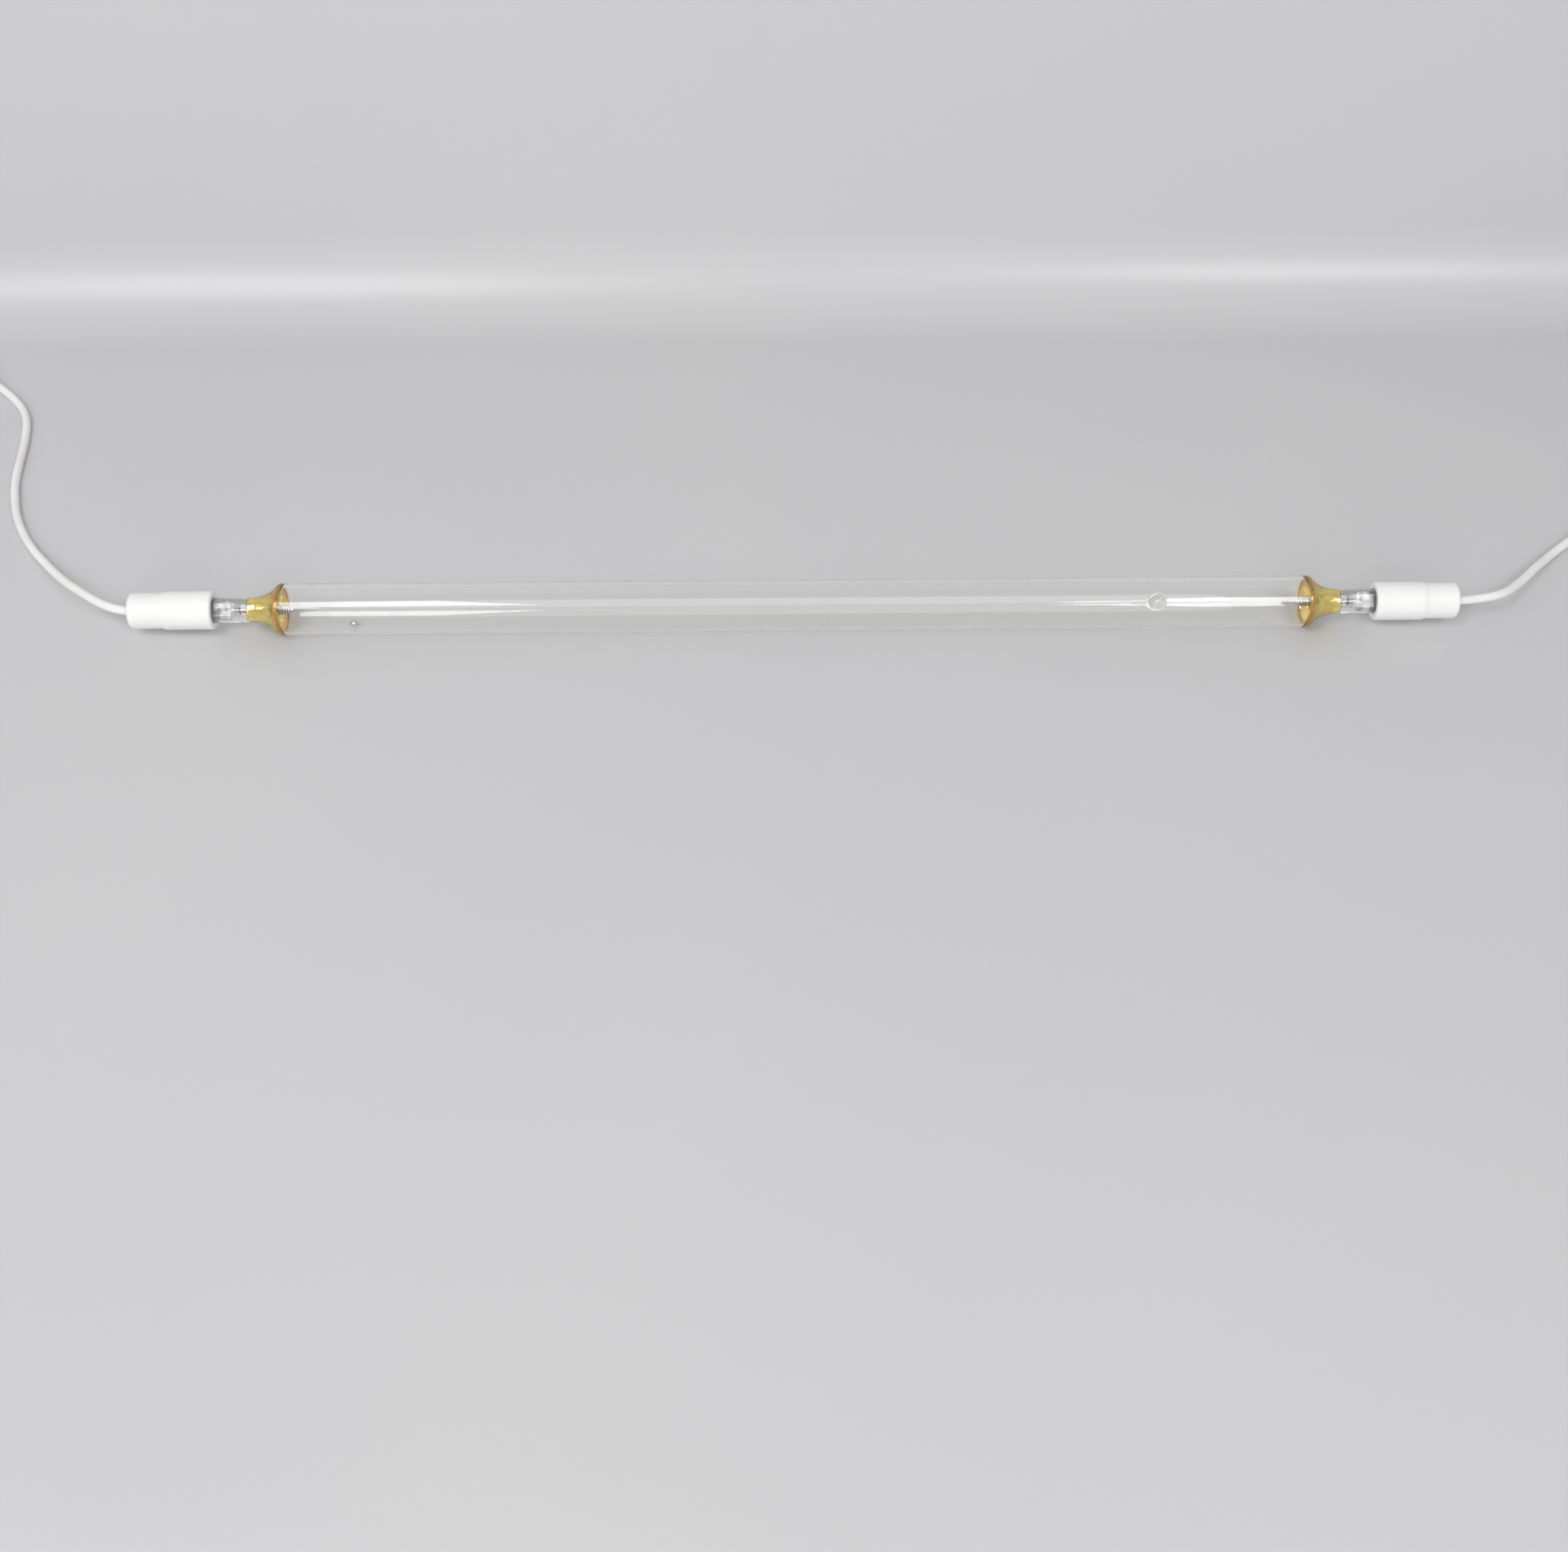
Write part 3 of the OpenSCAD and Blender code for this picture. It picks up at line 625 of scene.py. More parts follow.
def spun(bm, profile, steps, closed=False):
    """Turns [along, radius] points about the X axis, from a few vertices by bmesh's spin"""
    points = [bm.verts.new((x, 0.0, r)) for x, r in profile]
    edges = [bm.edges.new(pair) for pair in zip(points, points[1:])]
    if closed:
        edges.append(bm.edges.new((points[-1], points[0])))
    bmesh.ops.spin(
        bm, geom=points + edges, cent=(0, 0, 0), axis=(1, 0, 0), dvec=(0, 0, 0),
        angle=2 * math.pi, steps=steps, use_merge=True, use_duplicate=False,
    )
    bmesh.ops.remove_doubles(bm, verts=bm.verts[:], dist=1e-7)
    bmesh.ops.recalc_face_normals(bm, faces=bm.faces[:])


def put_on_axis(bm, side=1):
    """Moves what is turned about X up to the lamp's axis, and mirrors it for the left end"""
    if side < 0:
        bmesh.ops.scale(bm, vec=(-1, 1, 1), verts=bm.verts[:])
        bmesh.ops.recalc_face_normals(bm, faces=bm.faces[:])
    bmesh.ops.translate(bm, vec=(0, 0, tube_sizes().diameter / 2), verts=bm.verts[:])


def arc(centre, radius, start, end, steps):
    """Points of an arc, in degrees"""
    points = []
    for i in range(steps + 1):
        a = math.radians(start + (end - start) * i / steps)
        points.append((centre[0] + radius * math.cos(a), centre[1] + radius * math.sin(a)))
    return points


def flare(r_tube, drop, start, end, r_end, power, steps, round_steps=8):
    """A rounded shoulder and a flare that narrows as a power curve, as [along, radius]"""
    r_start = r_tube - drop
    run = end - start
    slope = math.atan((r_start - r_end) * power / run)
    round_r = drop / (1 - math.cos(slope))
    centre = (start - round_r * math.sin(slope), r_tube - round_r)
    points = arc(centre, round_r, 90, 90 - math.degrees(slope), round_steps)
    for i in range(1, steps + 1):
        t = i / steps
        points.append((start + run * t, r_end + (r_start - r_end) * (1 - t) ** power))
    return points


def outer_flare(steps=30, round_steps=8):
    s = tube_sizes()
    return flare(s.diameter / 2, s.shoulder_drop, s.flare_start, s.flare_start + s.flare_length,
                 s.neck / 2, s.flare_power, steps, round_steps)


def press_direction():
    """The way that the pressed faces and the exhaust tip look: up and towards the front"""
    turn = tube_sizes().seal_turn
    return Vector((0, -math.sin(turn), math.cos(turn)))


def smooth_path(points, parts=4):
    """Points of a Catmull-Rom curve through all the given ones"""
    points = [Vector(p) for p in points]
    ends = [2 * points[0] - points[1], *points, 2 * points[-1] - points[-2]]
    path = []
    for i in range(1, len(ends) - 2):
        a, b, c, d = ends[i - 1 : i + 3]
        for k in range(parts):
            t = k / parts
            path.append(0.5 * (2 * b + (c - a) * t + (2 * a - 5 * b + 4 * c - d) * t * t
                               + (3 * b - a - 3 * c + d) * t ** 3))
    path.append(points[-1])
    return path


# Leads -------------------------------------------------------------------------------------


def bundle_radius(side):
    return lead_sizes().diameter / 2 / math.sin(math.pi / COILS[side][3])


def coil_lift(side):
    return bundle_radius(side) + lead_sizes().diameter / 2 + 0.1 * MM + 0.8 * MM


def coil_point(side, t):
    """Where the lead is after t turns: its strands wind about the ring as they go round"""
    middle, start, way, strands, _ = COILS[side]
    rho = bundle_radius(side)
    spin = -math.radians((180 + 360 * t) / strands)
    a = math.radians(start + way * 360 * t)
    r = lead_sizes().coil_radius + rho * math.cos(spin)
    return Vector((middle[0] + r * math.cos(a), middle[1] + r * math.sin(a),
                   coil_lift(side) + rho * math.sin(spin)))


def coil_way(side, t):
    _, start, way, _, _ = COILS[side]
    a = math.radians(start + way * 360 * t)
    return Vector((-math.sin(a), math.cos(a), 0)) * way


def lead_path(side):
    turns = lead_sizes().turns_left if side == "left" else lead_sizes().turns_right
    start = coil_point(side, 0) - 16 * MM * coil_way(side, 0)
    first = smooth_path([*ROUTES[side], start, start + 8 * MM * coil_way(side, 0),
                         coil_point(side, 0)])
    count = int(turns * 36)
    ring = [coil_point(side, turns * i / count) for i in range(1, count)]
    leave = coil_point(side, turns)
    way = coil_way(side, turns)
    last = smooth_path([leave, leave + 7 * MM * way, leave + 14 * MM * way, *TAILS[side]])
    return first + ring + last


def coil_tie(side):
    """Builds one strap round a coil's bundle, with its head and its cut end"""
    middle, _, _, _, angle = COILS[side]
    inner = bundle_radius(side) + lead_sizes().diameter / 2 + 0.1 * MM
    outer = inner + 0.8 * MM
    width = 2.5 * MM
    bm = bmesh.new()
    spun(bm, [(-width / 2, inner), (width / 2, inner), (width / 2, outer), (-width / 2, outer)],
         72, closed=True)
    band_edges = [e for e in bm.edges if abs(e.verts[0].co.x - e.verts[1].co.x) < 1e-7
                  and e.calc_face_angle(0) > 1.0]
    bmesh.ops.bevel(bm, geom=band_edges, offset=0.22 * MM, offset_type="OFFSET", segments=3,
                    profile=0.5, affect="EDGES", material=-1, clamp_overlap=True)
    head = 4.4 * MM
    for size, place in (
        ((head, head, head * 0.8), (0, 0, outer + head * 0.2)),
        ((width, 4 * MM, 0.8 * MM), (0, head / 2 + 1 * MM, outer - 0.4 * MM)),
    ):
        box = bmesh.new()
        bmesh.ops.create_cube(box, size=1.0)
        bmesh.ops.scale(box, vec=size, verts=box.verts[:])
        bmesh.ops.bevel(box, geom=box.edges[:], offset=min(size) * 0.18, offset_type="OFFSET",
                        segments=3, profile=0.5, affect="EDGES", material=-1)
        bmesh.ops.translate(box, vec=place, verts=box.verts[:])
        mesh = bpy.data.meshes.new("part")
        box.to_mesh(mesh)
        box.free()
        bm.from_mesh(mesh)
        bpy.data.meshes.remove(mesh)
    a = math.radians(angle)
    centre = Vector((middle[0] + lead_sizes().coil_radius * math.cos(a),
                     middle[1] + lead_sizes().coil_radius * math.sin(a), coil_lift(side)))
    # The band's own X runs along the bundle there, and its head looks up
    turn = Matrix.Rotation(a + math.pi / 2, 4, "Z")
    bmesh.ops.transform(bm, matrix=Matrix.Translation(centre) @ turn, verts=bm.verts[:])
    return finish_piece(bm, f"tie_{side}", plastic_finish(), "tie_nylon", f"coil_tie_{side}")


class UVLAMP_OT_leads(bpy.types.Operator):
    """Lays both insulated leads with their coils, ties and terminals"""

    bl_idname = "uv_lamp.leads"
    bl_label = "Leads"

    def execute(self, context):
        sizes = lead_sizes()
        for side, _ in SIDES:
            curve = bpy.data.curves.new(f"lead_{side}", "CURVE")
            curve.dimensions = "3D"
            curve.bevel_depth = sizes.diameter / 2
            curve.bevel_resolution = 6
            curve.use_fill_caps = True
            curve.twist_mode = "MINIMUM"
            path = lead_path(side)
            spline = curve.splines.new("POLY")
            spline.points.add(len(path) - 1)
            for point, place in zip(spline.points, path):
                point.co = (*place, 1.0)
            spline.use_smooth = True
            lead = bpy.data.objects.new(f"lead_{side}", curve)
            context.scene.collection.objects.link(lead)
            curve.materials.append(lead_finish())
            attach(lead, "root")
            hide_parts(f"lead_wire_{side}", f"lead_coil_{side}", f"lead_tail_{side}")
            tie = coil_tie(side)
            dress_node(f"ring_terminal_{side}", nickel_finish())
            dress_node(f"terminal_sleeve_{side}", plastic_finish())
            dress_node(f"core_tip_{side}", copper_finish())
        return {"FINISHED"}


# Quartz ------------------------------------------------------------------------------------


def tip_height_at(d, a):
    """Height of the exhaust tip above the tube at a distance and an angle from its own axis"""
    s = tube_sizes()
    rise = max(0.0, 1 / (1 + (d / s.tip_radius) ** 7) - 0.003)
    # the torch leaves a twist where it draws the glass off, and a pit beside the middle
    twist = 0.06 * MM * math.cos(2 * a - 1900 * d) * 4 * rise * (1 - rise)
    beside = (d * math.cos(a) - 1.2 * MM) ** 2 + (d * math.sin(a) + 0.2 * MM) ** 2
    return s.tip_height * rise + twist - 0.1 * MM * math.exp(-beside / (0.4 * MM) ** 2)


def hand_waves(x, a, way):
    """Waves that working the flare by hand left in it, x from the shoulder plane"""
    s = tube_sizes()
    t = (x - s.flare_start) / s.flare_length
    if t <= 0:
        return 0.0
    ease = min(1.0, t / 0.3)
    fade = 1 - min(1.0, max(0.0, (t - 1) * s.flare_length / (3 * MM)))
    place = Vector((x * 330, 2.6 * math.cos(a), 2.6 * math.sin(a) + 9 * way))
    return 1.2 * s.ripple * ease * ease * (3 - 2 * ease) * fade * noise.noise(place)


def straight_rings(steps_far, near, near_steps):
    """Places along the straight tube, close together round the exhaust tip"""
    s = tube_sizes()
    end = s.span / 2
    tip = end - s.tip_inset
    places = [-end + (tip - near + end) * i / steps_far for i in range(1, steps_far)]
    places += [tip - near + 2 * near * i / near_steps for i in range(near_steps + 1)]
    places += [tip + near + (end - tip - near) * i / 12 for i in range(1, 12)]
    return places


def quartz_outer(steps=200):
    s = tube_sizes()
    half = s.span / 2
    neck_at = s.flare_start + s.flare_length
    seal_end = neck_at + s.seal_length
    right = [(half + x, r) for x, r in outer_flare()]
    rings = 60
    for i in range(1, rings + 1):
        t = i / rings
        right.append((half + neck_at + (s.seal_length - 0.0005) * t,
                      s.neck / 2 + 0.1 * MM * math.sin(math.pi * t)))
    right += [(half + seal_end, s.neck / 2 - 0.0005), (half + seal_end, 0.002),
              (half + seal_end, 0.0)]
    left = [(-x, r) for x, r in reversed(right)]
    middle = [(x, s.diameter / 2) for x in straight_rings(24, 0.0055, 52)]
    bm = bmesh.new()
    spun(bm, left + middle + right, steps)
    press = press_direction()
    flat = s.seal_flat / 2
    tip_x = half - s.tip_inset
    for v in bm.verts:
        along = abs(v.co.x) - half - neck_at
        radial = Vector((0, v.co.y, v.co.z))
        if radial.length > 0.003 and abs(v.co.x) > half:
            v.co += radial.normalized() * hand_waves(
                abs(v.co.x) - half, math.atan2(v.co.z, v.co.y), math.copysign(1, v.co.x))
        if along > 0.0:
            # the press marks, which run out in a slope before the neck
            ease = min(1.0, max(0.0, (along - 0.001) / 0.0035))
            limit = s.neck / 2 + 0.1 * MM + (flat - s.neck / 2 - 0.1 * MM) * ease
            height = v.co.dot(press)
            over = abs(height) - limit
            if over > 0:
                v.co -= press * math.copysign(over, height)
            strength = ease * s.ripple
            wave = noise.noise(Vector((v.co.x * 190, v.co.y * 430, v.co.z * 430)))
            wave += 0.3 * noise.noise(Vector((v.co.x * 420 + 7, v.co.y * 800, v.co.z * 800)))
            radial = Vector((0, v.co.y, v.co.z))
            if radial.length > 0.003:
                v.co -= radial.normalized() * strength * (0.7 + wave)
        elif abs(v.co.x - tip_x) < 0.0055:
            height = v.co.dot(press)
            if height > 0:
                aside = press.cross(Vector((1, 0, 0))).dot(v.co)
                d = math.hypot(v.co.x - tip_x, aside)
                v.co += press * tip_height_at(d, math.atan2(aside, v.co.x - tip_x))
    return bm


def quartz_inner(steps=128):
    """The arc chamber's wall, which faces into the chamber"""
    s = tube_sizes()
    half = s.span / 2
    bore = s.diameter / 2 - s.wall
    end_r = end_sizes().rod / 2 + 0.6 * MM
    chamber_end = s.flare_start + s.flare_length + 3 * MM
    line = flare(bore, 1 * MM, 0.1 * MM, chamber_end - 0.5 * MM, end_r, 2.2, 26)
    right = [(half + x, r) for x, r in line]
    right += [(half + chamber_end - 0.1 * MM, 0.0011), (half + chamber_end, 0.0)]
    left = [(-x, r) for x, r in reversed(right)]
    middle = [(x, bore) for x in straight_rings(16, 0.0026, 22)]
    bm = bmesh.new()
    spun(bm, left + middle + right, steps)
    press = press_direction()
    tip_x = half - s.tip_inset
    for v in bm.verts:
        if abs(v.co.x - tip_x) < 0.0026 and v.co.dot(press) > 0:
            height = v.co.dot(press)
            aside = v.co - press * height
            d = math.hypot(v.co.x - tip_x, Vector((0, aside.y, aside.z)).length)
            v.co += press * 1.1 * MM * math.exp(-((d / 0.0013) ** 2))
    bmesh.ops.reverse_faces(bm, faces=bm.faces[:])
    return bm


class UVLAMP_OT_quartz(bpy.types.Operator):
    """Builds the quartz envelope: arc tube, shoulders, seals and exhaust tip in one"""

    bl_idname = "uv_lamp.quartz"
    bl_label = "Quartz envelope"

    def execute(self, context):
        bm = quartz_outer()
        wall = quartz_inner()
        mesh = bpy.data.meshes.new("chamber")
        wall.to_mesh(mesh)
        wall.free()
        bm.from_mesh(mesh)
        bpy.data.meshes.remove(mesh)
        put_on_axis(bm)
        finish_piece(bm, "quartz", quartz_finish(), "clear_quartz", "quartz_envelope")
        return {"FINISHED"}


class UVLAMP_OT_gold(bpy.types.Operator):
    """Lays the gold lustre over both shoulders, with a brushed edge at the neck"""

    bl_idname = "uv_lamp.gold"
    bl_label = "Gold lustre"

    def execute(self, context):
        s = tube_sizes()
        half = s.span / 2
        line = outer_flare()

        def radius_at(x):
            for (x0, r0), (x1, r1) in zip(line, line[1:]):
                if x <= x1:
                    return r0 + (r1 - r0) * max(0.0, (x - x0) / (x1 - x0))
            return line[-1][1]

        for side, way in SIDES:
            skin = line
            # fused into the quartz: with air between them, the wall would look black
            inner = [(x, r - 0.05 * MM) for x, r in skin]
            outer = [(x, r - 0.025 * MM) for x, r in reversed(skin)]
            bm = bmesh.new()
            spun(bm, inner + outer, 200, closed=True)
            neck_at = skin[-1][0]
            for v in bm.verts:
                ease = max(0.0, (v.co.x / neck_at - 0.7) / 0.3)
                a = math.atan2(v.co.z, v.co.y)
                wave = noise.noise(Vector((3 * math.cos(a), 3 * math.sin(a), 5 * way)))
                above = math.hypot(v.co.y, v.co.z) - radius_at(v.co.x)
                x = v.co.x + ease * (-0.0005 + 0.0007 * wave)
                r = radius_at(x) + above + hand_waves(x, a, way)
                v.co = Vector((x, r * math.cos(a), r * math.sin(a)))
            bmesh.ops.translate(bm, vec=(half, 0, 0), verts=bm.verts[:])
            put_on_axis(bm, way)
            finish_piece(bm, f"gold_{side}", gold_finish(), "gold_lustre", f"gold_coat_{side}")
        return {"FINISHED"}


# Electrodes, foils and mercury -------------------------------------------------------------


class UVLAMP_OT_electrodes(bpy.types.Operator):
    """Winds the tungsten wire on both rods, and gives the rods their finish"""

    bl_idname = "uv_lamp.electrodes"
    bl_label = "Electrodes"

    def execute(self, context):
        s, e = tube_sizes(), end_sizes()
        half = s.span / 2
        for side, way in SIDES:
            dress_node(f"electrode_rod_{side}", tungsten_finish())
            wire_r = e.wire / 2
            ring_r = e.rod / 2 + wire_r + 0.03 * MM
            pitch = e.wire + 0.03 * MM
            start = half - e.rod_reach + 0.8 * MM + wire_r
            bm = bmesh.new()
            made = bmesh.ops.create_circle(bm, cap_ends=True, radius=wire_r, segments=14)
            verts = made["verts"]
            bmesh.ops.rotate(bm, cent=(0, 0, 0), verts=verts,
                             matrix=Matrix.Rotation(math.pi / 2, 3, "Y")
                             @ Matrix.Rotation(math.pi / 2, 3, "X"))
            bmesh.ops.translate(bm, vec=(start, 0, ring_r), verts=verts)
            steps = 28 * e.turns
            bmesh.ops.spin(
                bm, geom=bm.verts[:] + bm.edges[:] + bm.faces[:], cent=(0, 0, 0),
                axis=(1, 0, 0), dvec=(pitch * e.turns / steps, 0, 0),
                angle=2 * math.pi * e.turns, steps=steps, use_merge=False,
                use_duplicate=False,
            )
            bmesh.ops.remove_doubles(bm, verts=bm.verts[:], dist=1e-7)
            bmesh.ops.recalc_face_normals(bm, faces=bm.faces[:])
            put_on_axis(bm, way)
            finish_piece(bm, f"winding_{side}", tungsten_finish(), "tungsten",
                         f"electrode_winding_{side}")
        return {"FINISHED"}


class UVLAMP_OT_foils(bpy.types.Operator):
    """Lays the thin sealing foils, slightly buckled, and finishes the lead pins"""

    bl_idname = "uv_lamp.foils"
    bl_label = "Sealing foils"

    def execute(self, context):
        s, e = tube_sizes(), end_sizes()
        half = s.span / 2
        begin = s.flare_start + s.flare_length + 6.6 * MM
        end = s.flare_start + s.flare_length + s.seal_length - 3 * MM
        for side, way in SIDES:
            dress_node(f"lead_pin_{side}", molybdenum_finish())
            bm = bmesh.new()
            bmesh.ops.create_grid(bm, x_segments=48, y_segments=14, size=0.5)
            bmesh.ops.scale(bm, vec=(end - begin, e.foil_width, 1), verts=bm.verts[:])
            for v in bm.verts:
                edge = 1 - abs(v.co.y) / (e.foil_width / 2)
                v.co.z += 0.05 * MM * math.sin(v.co.x * 2400) * edge
                v.co.z += 0.04 * MM * noise.noise(v.co * 900)
            bmesh.ops.solidify(bm, geom=bm.faces[:], thickness=0.06 * MM)
            bmesh.ops.recalc_face_normals(bm, faces=bm.faces[:])
            # its own Z looks the way of the pressed faces
            bmesh.ops.rotate(bm, cent=(0, 0, 0), verts=bm.verts[:],
                             matrix=Matrix.Rotation(s.seal_turn, 3, "X"))
            press = press_direction()
            bmesh.ops.translate(bm, vec=Vector((half + (begin + end) / 2, 0, 0))
                                + press * 0.1 * MM, verts=bm.verts[:])
            put_on_axis(bm, way)
            finish_piece(bm, f"foil_{side}", molybdenum_finish(), "molybdenum",
                         f"sealing_foil_{side}")
        return {"FINISHED"}


class UVLAMP_OT_mercury(bpy.types.Operator):
    """Sets the drop of mercury on the bottom of the tube, a little flattened"""

    bl_idname = "uv_lamp.mercury"
    bl_label = "Mercury drop"

    def execute(self, context):
        s = tube_sizes()
        bm = bmesh.new()
        bmesh.ops.create_uvsphere(bm, u_segments=40, v_segments=24, radius=s.bead / 2)
        for v in bm.verts:
            v.co.z *= 0.94 if v.co.z > 0 else 0.97
        floor = s.wall
        bmesh.ops.translate(bm, vec=(s.bead_inset - s.span / 2, 0, floor + s.bead / 2),
                            verts=bm.verts[:])
        finish_piece(bm, "mercury", mercury_finish(), "mercury", "mercury_bead")
        return {"FINISHED"}


# Bases -------------------------------------------------------------------------------------


class UVLAMP_OT_bases(bpy.types.Operator):
    """Turns the stepped ceramic bases and fills them with cement, splice and core"""

    bl_idname = "uv_lamp.bases"
    bl_label = "Ceramic bases"

    def execute(self, context):
        s, e = tube_sizes(), end_sizes()
        front = s.span / 2 + e.base_inset
        step = front + e.base_front_length
        rear = step + e.base_rear_length
        base_r, rear_r = e.base / 2, e.base_rear / 2
        socket_r, passage_r = e.socket / 2, e.passage / 2
        hole_r = (lead_sizes().diameter + 0.8 * MM) / 2
        socket_end = front + 16 * MM
        hole_start = rear - 6 * MM
        front_round, rear_round, mouth = 1.1 * MM, 1.5 * MM, 0.6 * MM
        bevel = 1.2 * MM
        outline = arc((front + mouth, socket_r + mouth), mouth, 270, 180, 8)
        outline += arc((front + front_round, base_r - front_round), front_round, 180, 90, 12)
        outline += [(front + 3 * MM, base_r), (step - bevel, base_r),
                    (step - bevel / 2, base_r - 0.03 * MM)]
        outline += [(step, (base_r + rear_r) / 2), (step + bevel / 2, rear_r + 0.03 * MM),
                    (step + bevel, rear_r), (rear - 3 * MM, rear_r)]
        outline += arc((rear - rear_round, rear_r - rear_round), rear_round, 90, 0, 12)
        outline += arc((rear - 0.3 * MM, hole_r + 0.3 * MM), 0.3 * MM, 0, -90, 5)
        outline += [(hole_start, hole_r), (hole_start, passage_r), (socket_end, passage_r),
                    (socket_end, socket_r)]
        for side, way in SIDES:
            bm = bmesh.new()
            spun(bm, outline, 128, closed=True)
            for v in bm.verts:
                radius = math.hypot(v.co.y, v.co.z)
                if radius > socket_r + mouth:
                    soft = noise.noise(Vector((v.co.x * 220, v.co.y * 220, v.co.z * 220 + way)))
                    v.co.y *= 1 - 0.03 * MM * abs(soft) / radius
                    v.co.z *= 1 - 0.03 * MM * abs(soft) / radius
            put_on_axis(bm, way)
            finish_piece(bm, f"base_{side}", ceramic_finish(), "steatite",
                         f"ceramic_base_{side}")
            dress_node(f"cement_{side}", cement_finish())
            dress_node(f"crimp_splice_{side}", nickel_finish())
            dress_node(f"stripped_core_{side}", copper_finish())
        return {"FINISHED"}


# Camera and stage --------------------------------------------------------------------------


class UVLAMP_OT_camera(bpy.types.Operator):
    """Sets the camera where it looks down at the lamp from the front"""

    bl_idname = "uv_lamp.camera"
    bl_label = "Camera"

    def execute(self, context):
        data = bpy.data.cameras.new("camera")
        camera = bpy.data.objects.new("camera", data)
        context.scene.collection.objects.link(camera)
        data.sensor_fit = "HORIZONTAL"
        data.sensor_width = 36.0
        data.lens = 36.0 * 2350 / 1932
        data.clip_start, data.clip_end = 0.01, 50.0
        camera.location = (-0.011555, -0.592414, 0.553862)
        camera.rotation_euler = (math.radians(90 - 47.6), 0.0, -math.radians(0.6753))
        context.scene.camera = camera
        return {"FINISHED"}


def floor_finish():
    material, tree, shader = new_finish("Grey sheet")
    if tree is None:
        return material
    rgb = stage_settings().floor
    coordinates = add_node(tree, "ShaderNodeTexCoord", (-900, 0))
    group = add_node(tree, "ShaderNodeGroup", (-600, 0), node_tree=mottle_group())
    group.inputs["Cloud Scale"].default_value = 3.0
    group.inputs["Grain Scale"].default_value = 200.0
    group.inputs["Light"].default_value = shade(rgb, 1.01)
    group.inputs["Dark"].default_value = (rgb[0] * 0.985, rgb[1] * 0.985, rgb[2], 1.0)
    group.inputs["Smooth"].default_value = 0.31
    group.inputs["Rough"].default_value = 0.34
    tree.links.new(coordinates.outputs["Object"], group.inputs["Vector"])
    tree.links.new(group.outputs["Color"], shader.inputs["Base Color"])
    tree.links.new(group.outputs["Roughness"], shader.inputs["Roughness"])
    shader.inputs["Specular IOR Level"].default_value = 0.6
    # from behind, the sweep lets the camera see the lamp
    output = tree.nodes["Material Output"]
    output.location = (700, 0)
    face = add_node(tree, "ShaderNodeNewGeometry", (100, 350))
    clear = add_node(tree, "ShaderNodeBsdfTransparent", (100, -450))
    either = add_node(tree, "ShaderNodeMixShader", (450, 0))
    tree.links.new(face.outputs["Backfacing"], either.inputs[0])
    tree.links.new(shader.outputs["BSDF"], either.inputs[1])
    tree.links.new(clear.outputs["BSDF"], either.inputs[2])
    tree.links.new(either.outputs["Shader"], output.inputs["Surface"])
    return material


def soft_light(name, place, aim, side, power, roll):
    data = bpy.data.lights.new(name, "AREA")
    data.shape = "SQUARE"
    data.size = side
    data.energy = power
    lamp = bpy.data.objects.new(name, data)
    bpy.context.scene.collection.objects.link(lamp)
    lamp.location = place
    way = Vector(aim) - Vector(place)
    aimed = way.to_track_quat("-Z", "Y").to_matrix()
    lamp.rotation_euler = (aimed @ Matrix.Rotation(roll, 3, "Z")).to_euler()
    return lamp


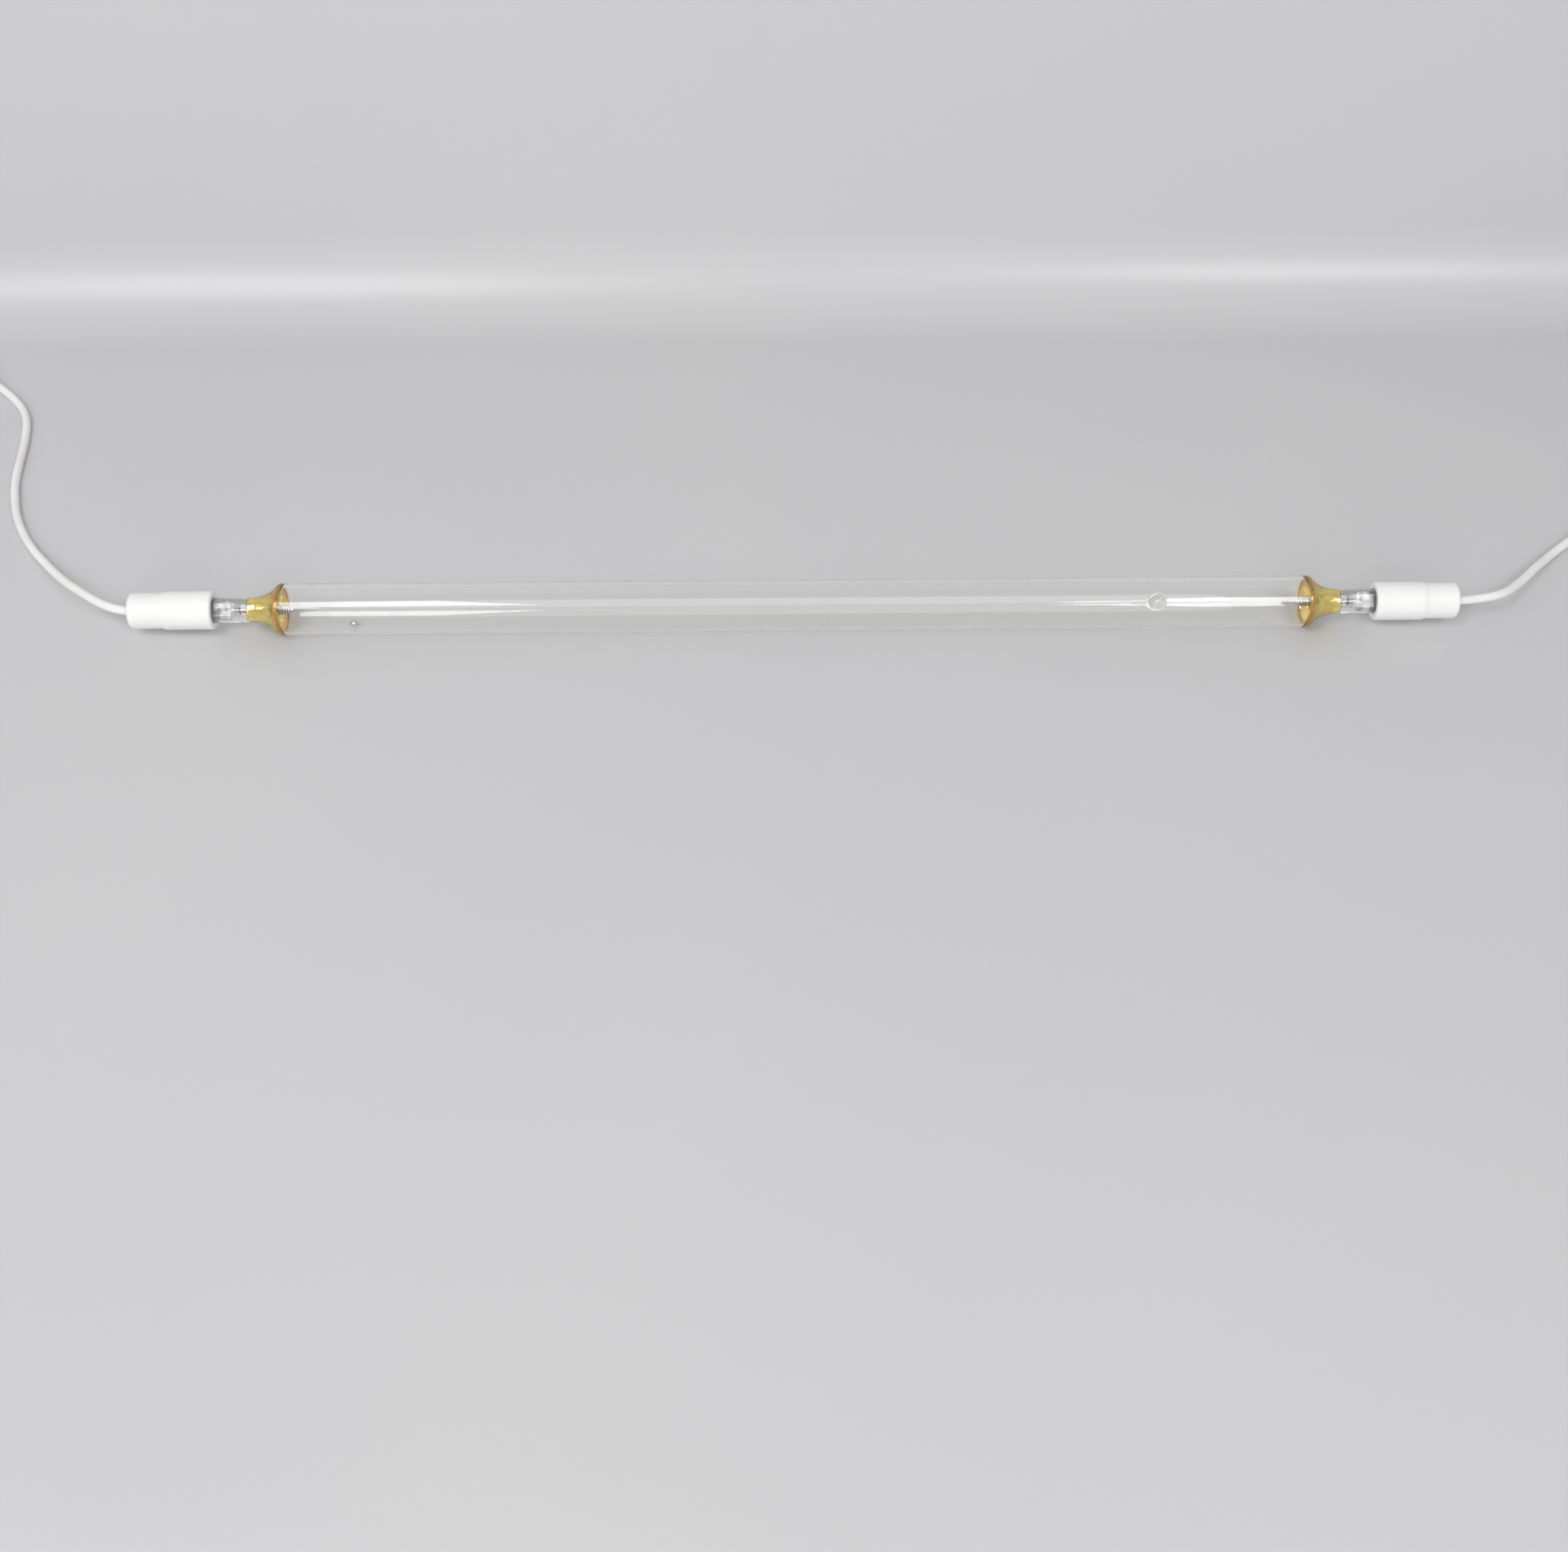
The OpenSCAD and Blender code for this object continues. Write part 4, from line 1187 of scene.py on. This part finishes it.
class UVLAMP_OT_stage(bpy.types.Operator):
    """Makes the swept grey sheet, the two softboxes and the even room light"""

    bl_idname = "uv_lamp.stage"
    bl_label = "Stage"

    def execute(self, context):
        settings = stage_settings()
        # the sheet is drawn out sideways from its line, which bends up behind the lamp
        bend_r, bend_start, lean = 0.045, 0.205, 78
        line = [(-3.0, 0.0), (-0.6, 0.0)]
        line += [(bend_start + bend_r * math.sin(math.radians(a)),
                  bend_r * (1 - math.cos(math.radians(a)))) for a in range(0, lean + 1, 3)]
        last = line[-1]
        run = 3.0
        line.append((last[0] + run * math.cos(math.radians(lean)),
                     last[1] + run * math.sin(math.radians(lean))))
        for name, points, drop in (
            ("sheet", line, 0.0),
            ("ground", [(-3.0, 0.0), (3.0, 0.0)], -0.0006),
        ):
            bm = bmesh.new()
            verts = [bm.verts.new((-3.0, y, z + drop)) for y, z in points]
            edges = [bm.edges.new(pair) for pair in zip(verts, verts[1:])]
            made = bmesh.ops.extrude_edge_only(bm, edges=edges)
            moved = [g for g in made["geom"] if isinstance(g, bmesh.types.BMVert)]
            bmesh.ops.translate(bm, vec=(6.0, 0, 0), verts=moved)
            for f in bm.faces:
                f.normal_update()
                f.smooth = True
            if bm.faces[:][0].normal.z < 0:
                bmesh.ops.reverse_faces(bm, faces=bm.faces[:])
            mesh = bpy.data.meshes.new(name)
            bm.to_mesh(mesh)
            bm.free()
            mesh.materials.append(floor_finish())
            floor = bpy.data.objects.new(name, mesh)
            context.scene.collection.objects.link(floor)
        soft_light("softbox_left", (-0.764, -0.81, 1.66), (-0.15, 0.0, 0.0), 0.76,
                   settings.left_level, math.radians(45))
        soft_light("softbox_low", (-0.85, -1.19, 1.417), (-0.2, 0.0, 0.0), 0.36,
                   settings.low_level, math.radians(45))
        soft_light("window_left", (-2.3, -0.7, 1.5), (-0.2, 0.0, 0.0), 0.9,
                   settings.window_level, 0.0)
        fill = soft_light("front_fill", (0.0, -1.6, 0.65), (0.0, 0.0, 0.0), 1.2,
                          settings.fill_level, 0.0)
        fill.visible_glossy = False
        soft_light("softbox_right", (0.79, -1.14, 1.46), (0.15, 0.0, 0.0), 0.64,
                   settings.right_level, math.radians(45))
        world = bpy.data.worlds.new("room")
        context.scene.world = world
        world.use_nodes = True
        tree = world.node_tree
        background = tree.nodes["Background"]
        background.inputs["Color"].default_value = (1.0, 1.0, 1.0, 1.0)
        # the camera, metal and glass see pale walls, which add no light to the object
        rays = add_node(tree, "ShaderNodeLightPath", (-900, 0))
        seen = add_node(tree, "ShaderNodeMath", (-650, 100), operation="MAXIMUM")
        tree.links.new(rays.outputs["Is Camera Ray"], seen.inputs[0])
        tree.links.new(rays.outputs["Is Glossy Ray"], seen.inputs[1])
        clear = add_node(tree, "ShaderNodeMath", (-450, 0), operation="MAXIMUM")
        tree.links.new(seen.outputs[0], clear.inputs[0])
        tree.links.new(rays.outputs["Is Transmission Ray"], clear.inputs[1])
        level = add_node(tree, "ShaderNodeMapRange", (-250, 0))
        level.inputs["To Min"].default_value = settings.world_level
        level.inputs["To Max"].default_value = settings.walls_level
        tree.links.new(clear.outputs[0], level.inputs["Value"])
        tree.links.new(level.outputs["Result"], background.inputs["Strength"])
        context.scene.view_settings.view_transform = "Standard"
        return {"FINISHED"}


class UVLAMP_PT_panel(bpy.types.Panel):
    """Lists the lamp's sizes, colours and pieces"""

    bl_idname = "UVLAMP_PT_panel"
    bl_label = "UV Lamp"
    bl_space_type = "VIEW_3D"
    bl_region_type = "UI"
    bl_category = "UV Lamp"

    def draw(self, context):
        layout = self.layout
        for title, group in (
            ("Tube", tube_sizes()), ("Ends", end_sizes()), ("Leads", lead_sizes()),
            ("Finishes", finishes()), ("Stage", stage_settings()),
        ):
            box = layout.box()
            box.label(text=title)
            for key in group.__annotations__:
                box.prop(group, key)
        for operator in OPERATORS:
            layout.operator(operator.bl_idname)


GROUPS = (
    ("uv_lamp_tube", UVLAMP_PG_tube),
    ("uv_lamp_ends", UVLAMP_PG_ends),
    ("uv_lamp_leads", UVLAMP_PG_leads),
    ("uv_lamp_finish", UVLAMP_PG_finish),
    ("uv_lamp_stage", UVLAMP_PG_stage),
)
OPERATORS = (
    UVLAMP_OT_camera,
    UVLAMP_OT_leads,
    UVLAMP_OT_quartz,
    UVLAMP_OT_gold,
    UVLAMP_OT_electrodes,
    UVLAMP_OT_foils,
    UVLAMP_OT_mercury,
    UVLAMP_OT_bases,
    UVLAMP_OT_stage,
)


def register():
    for name, group in GROUPS:
        bpy.utils.register_class(group)
        setattr(bpy.types.Scene, name, PointerProperty(type=group))
    for operator in OPERATORS:
        bpy.utils.register_class(operator)
    bpy.utils.register_class(UVLAMP_PT_panel)


def unregister():
    bpy.utils.unregister_class(UVLAMP_PT_panel)
    for operator in reversed(OPERATORS):
        bpy.utils.unregister_class(operator)
    for name, group in reversed(GROUPS):
        delattr(bpy.types.Scene, name)
        bpy.utils.unregister_class(group)


def main():
    register()
    bpy.ops.uv_lamp.camera()
    bpy.ops.uv_lamp.leads()
    bpy.ops.uv_lamp.quartz()
    bpy.ops.uv_lamp.gold()
    bpy.ops.uv_lamp.electrodes()
    bpy.ops.uv_lamp.foils()
    bpy.ops.uv_lamp.mercury()
    bpy.ops.uv_lamp.bases()
    bpy.ops.uv_lamp.stage()
    bpy.context.view_layer.update()


if __name__ == "__main__":
    main()
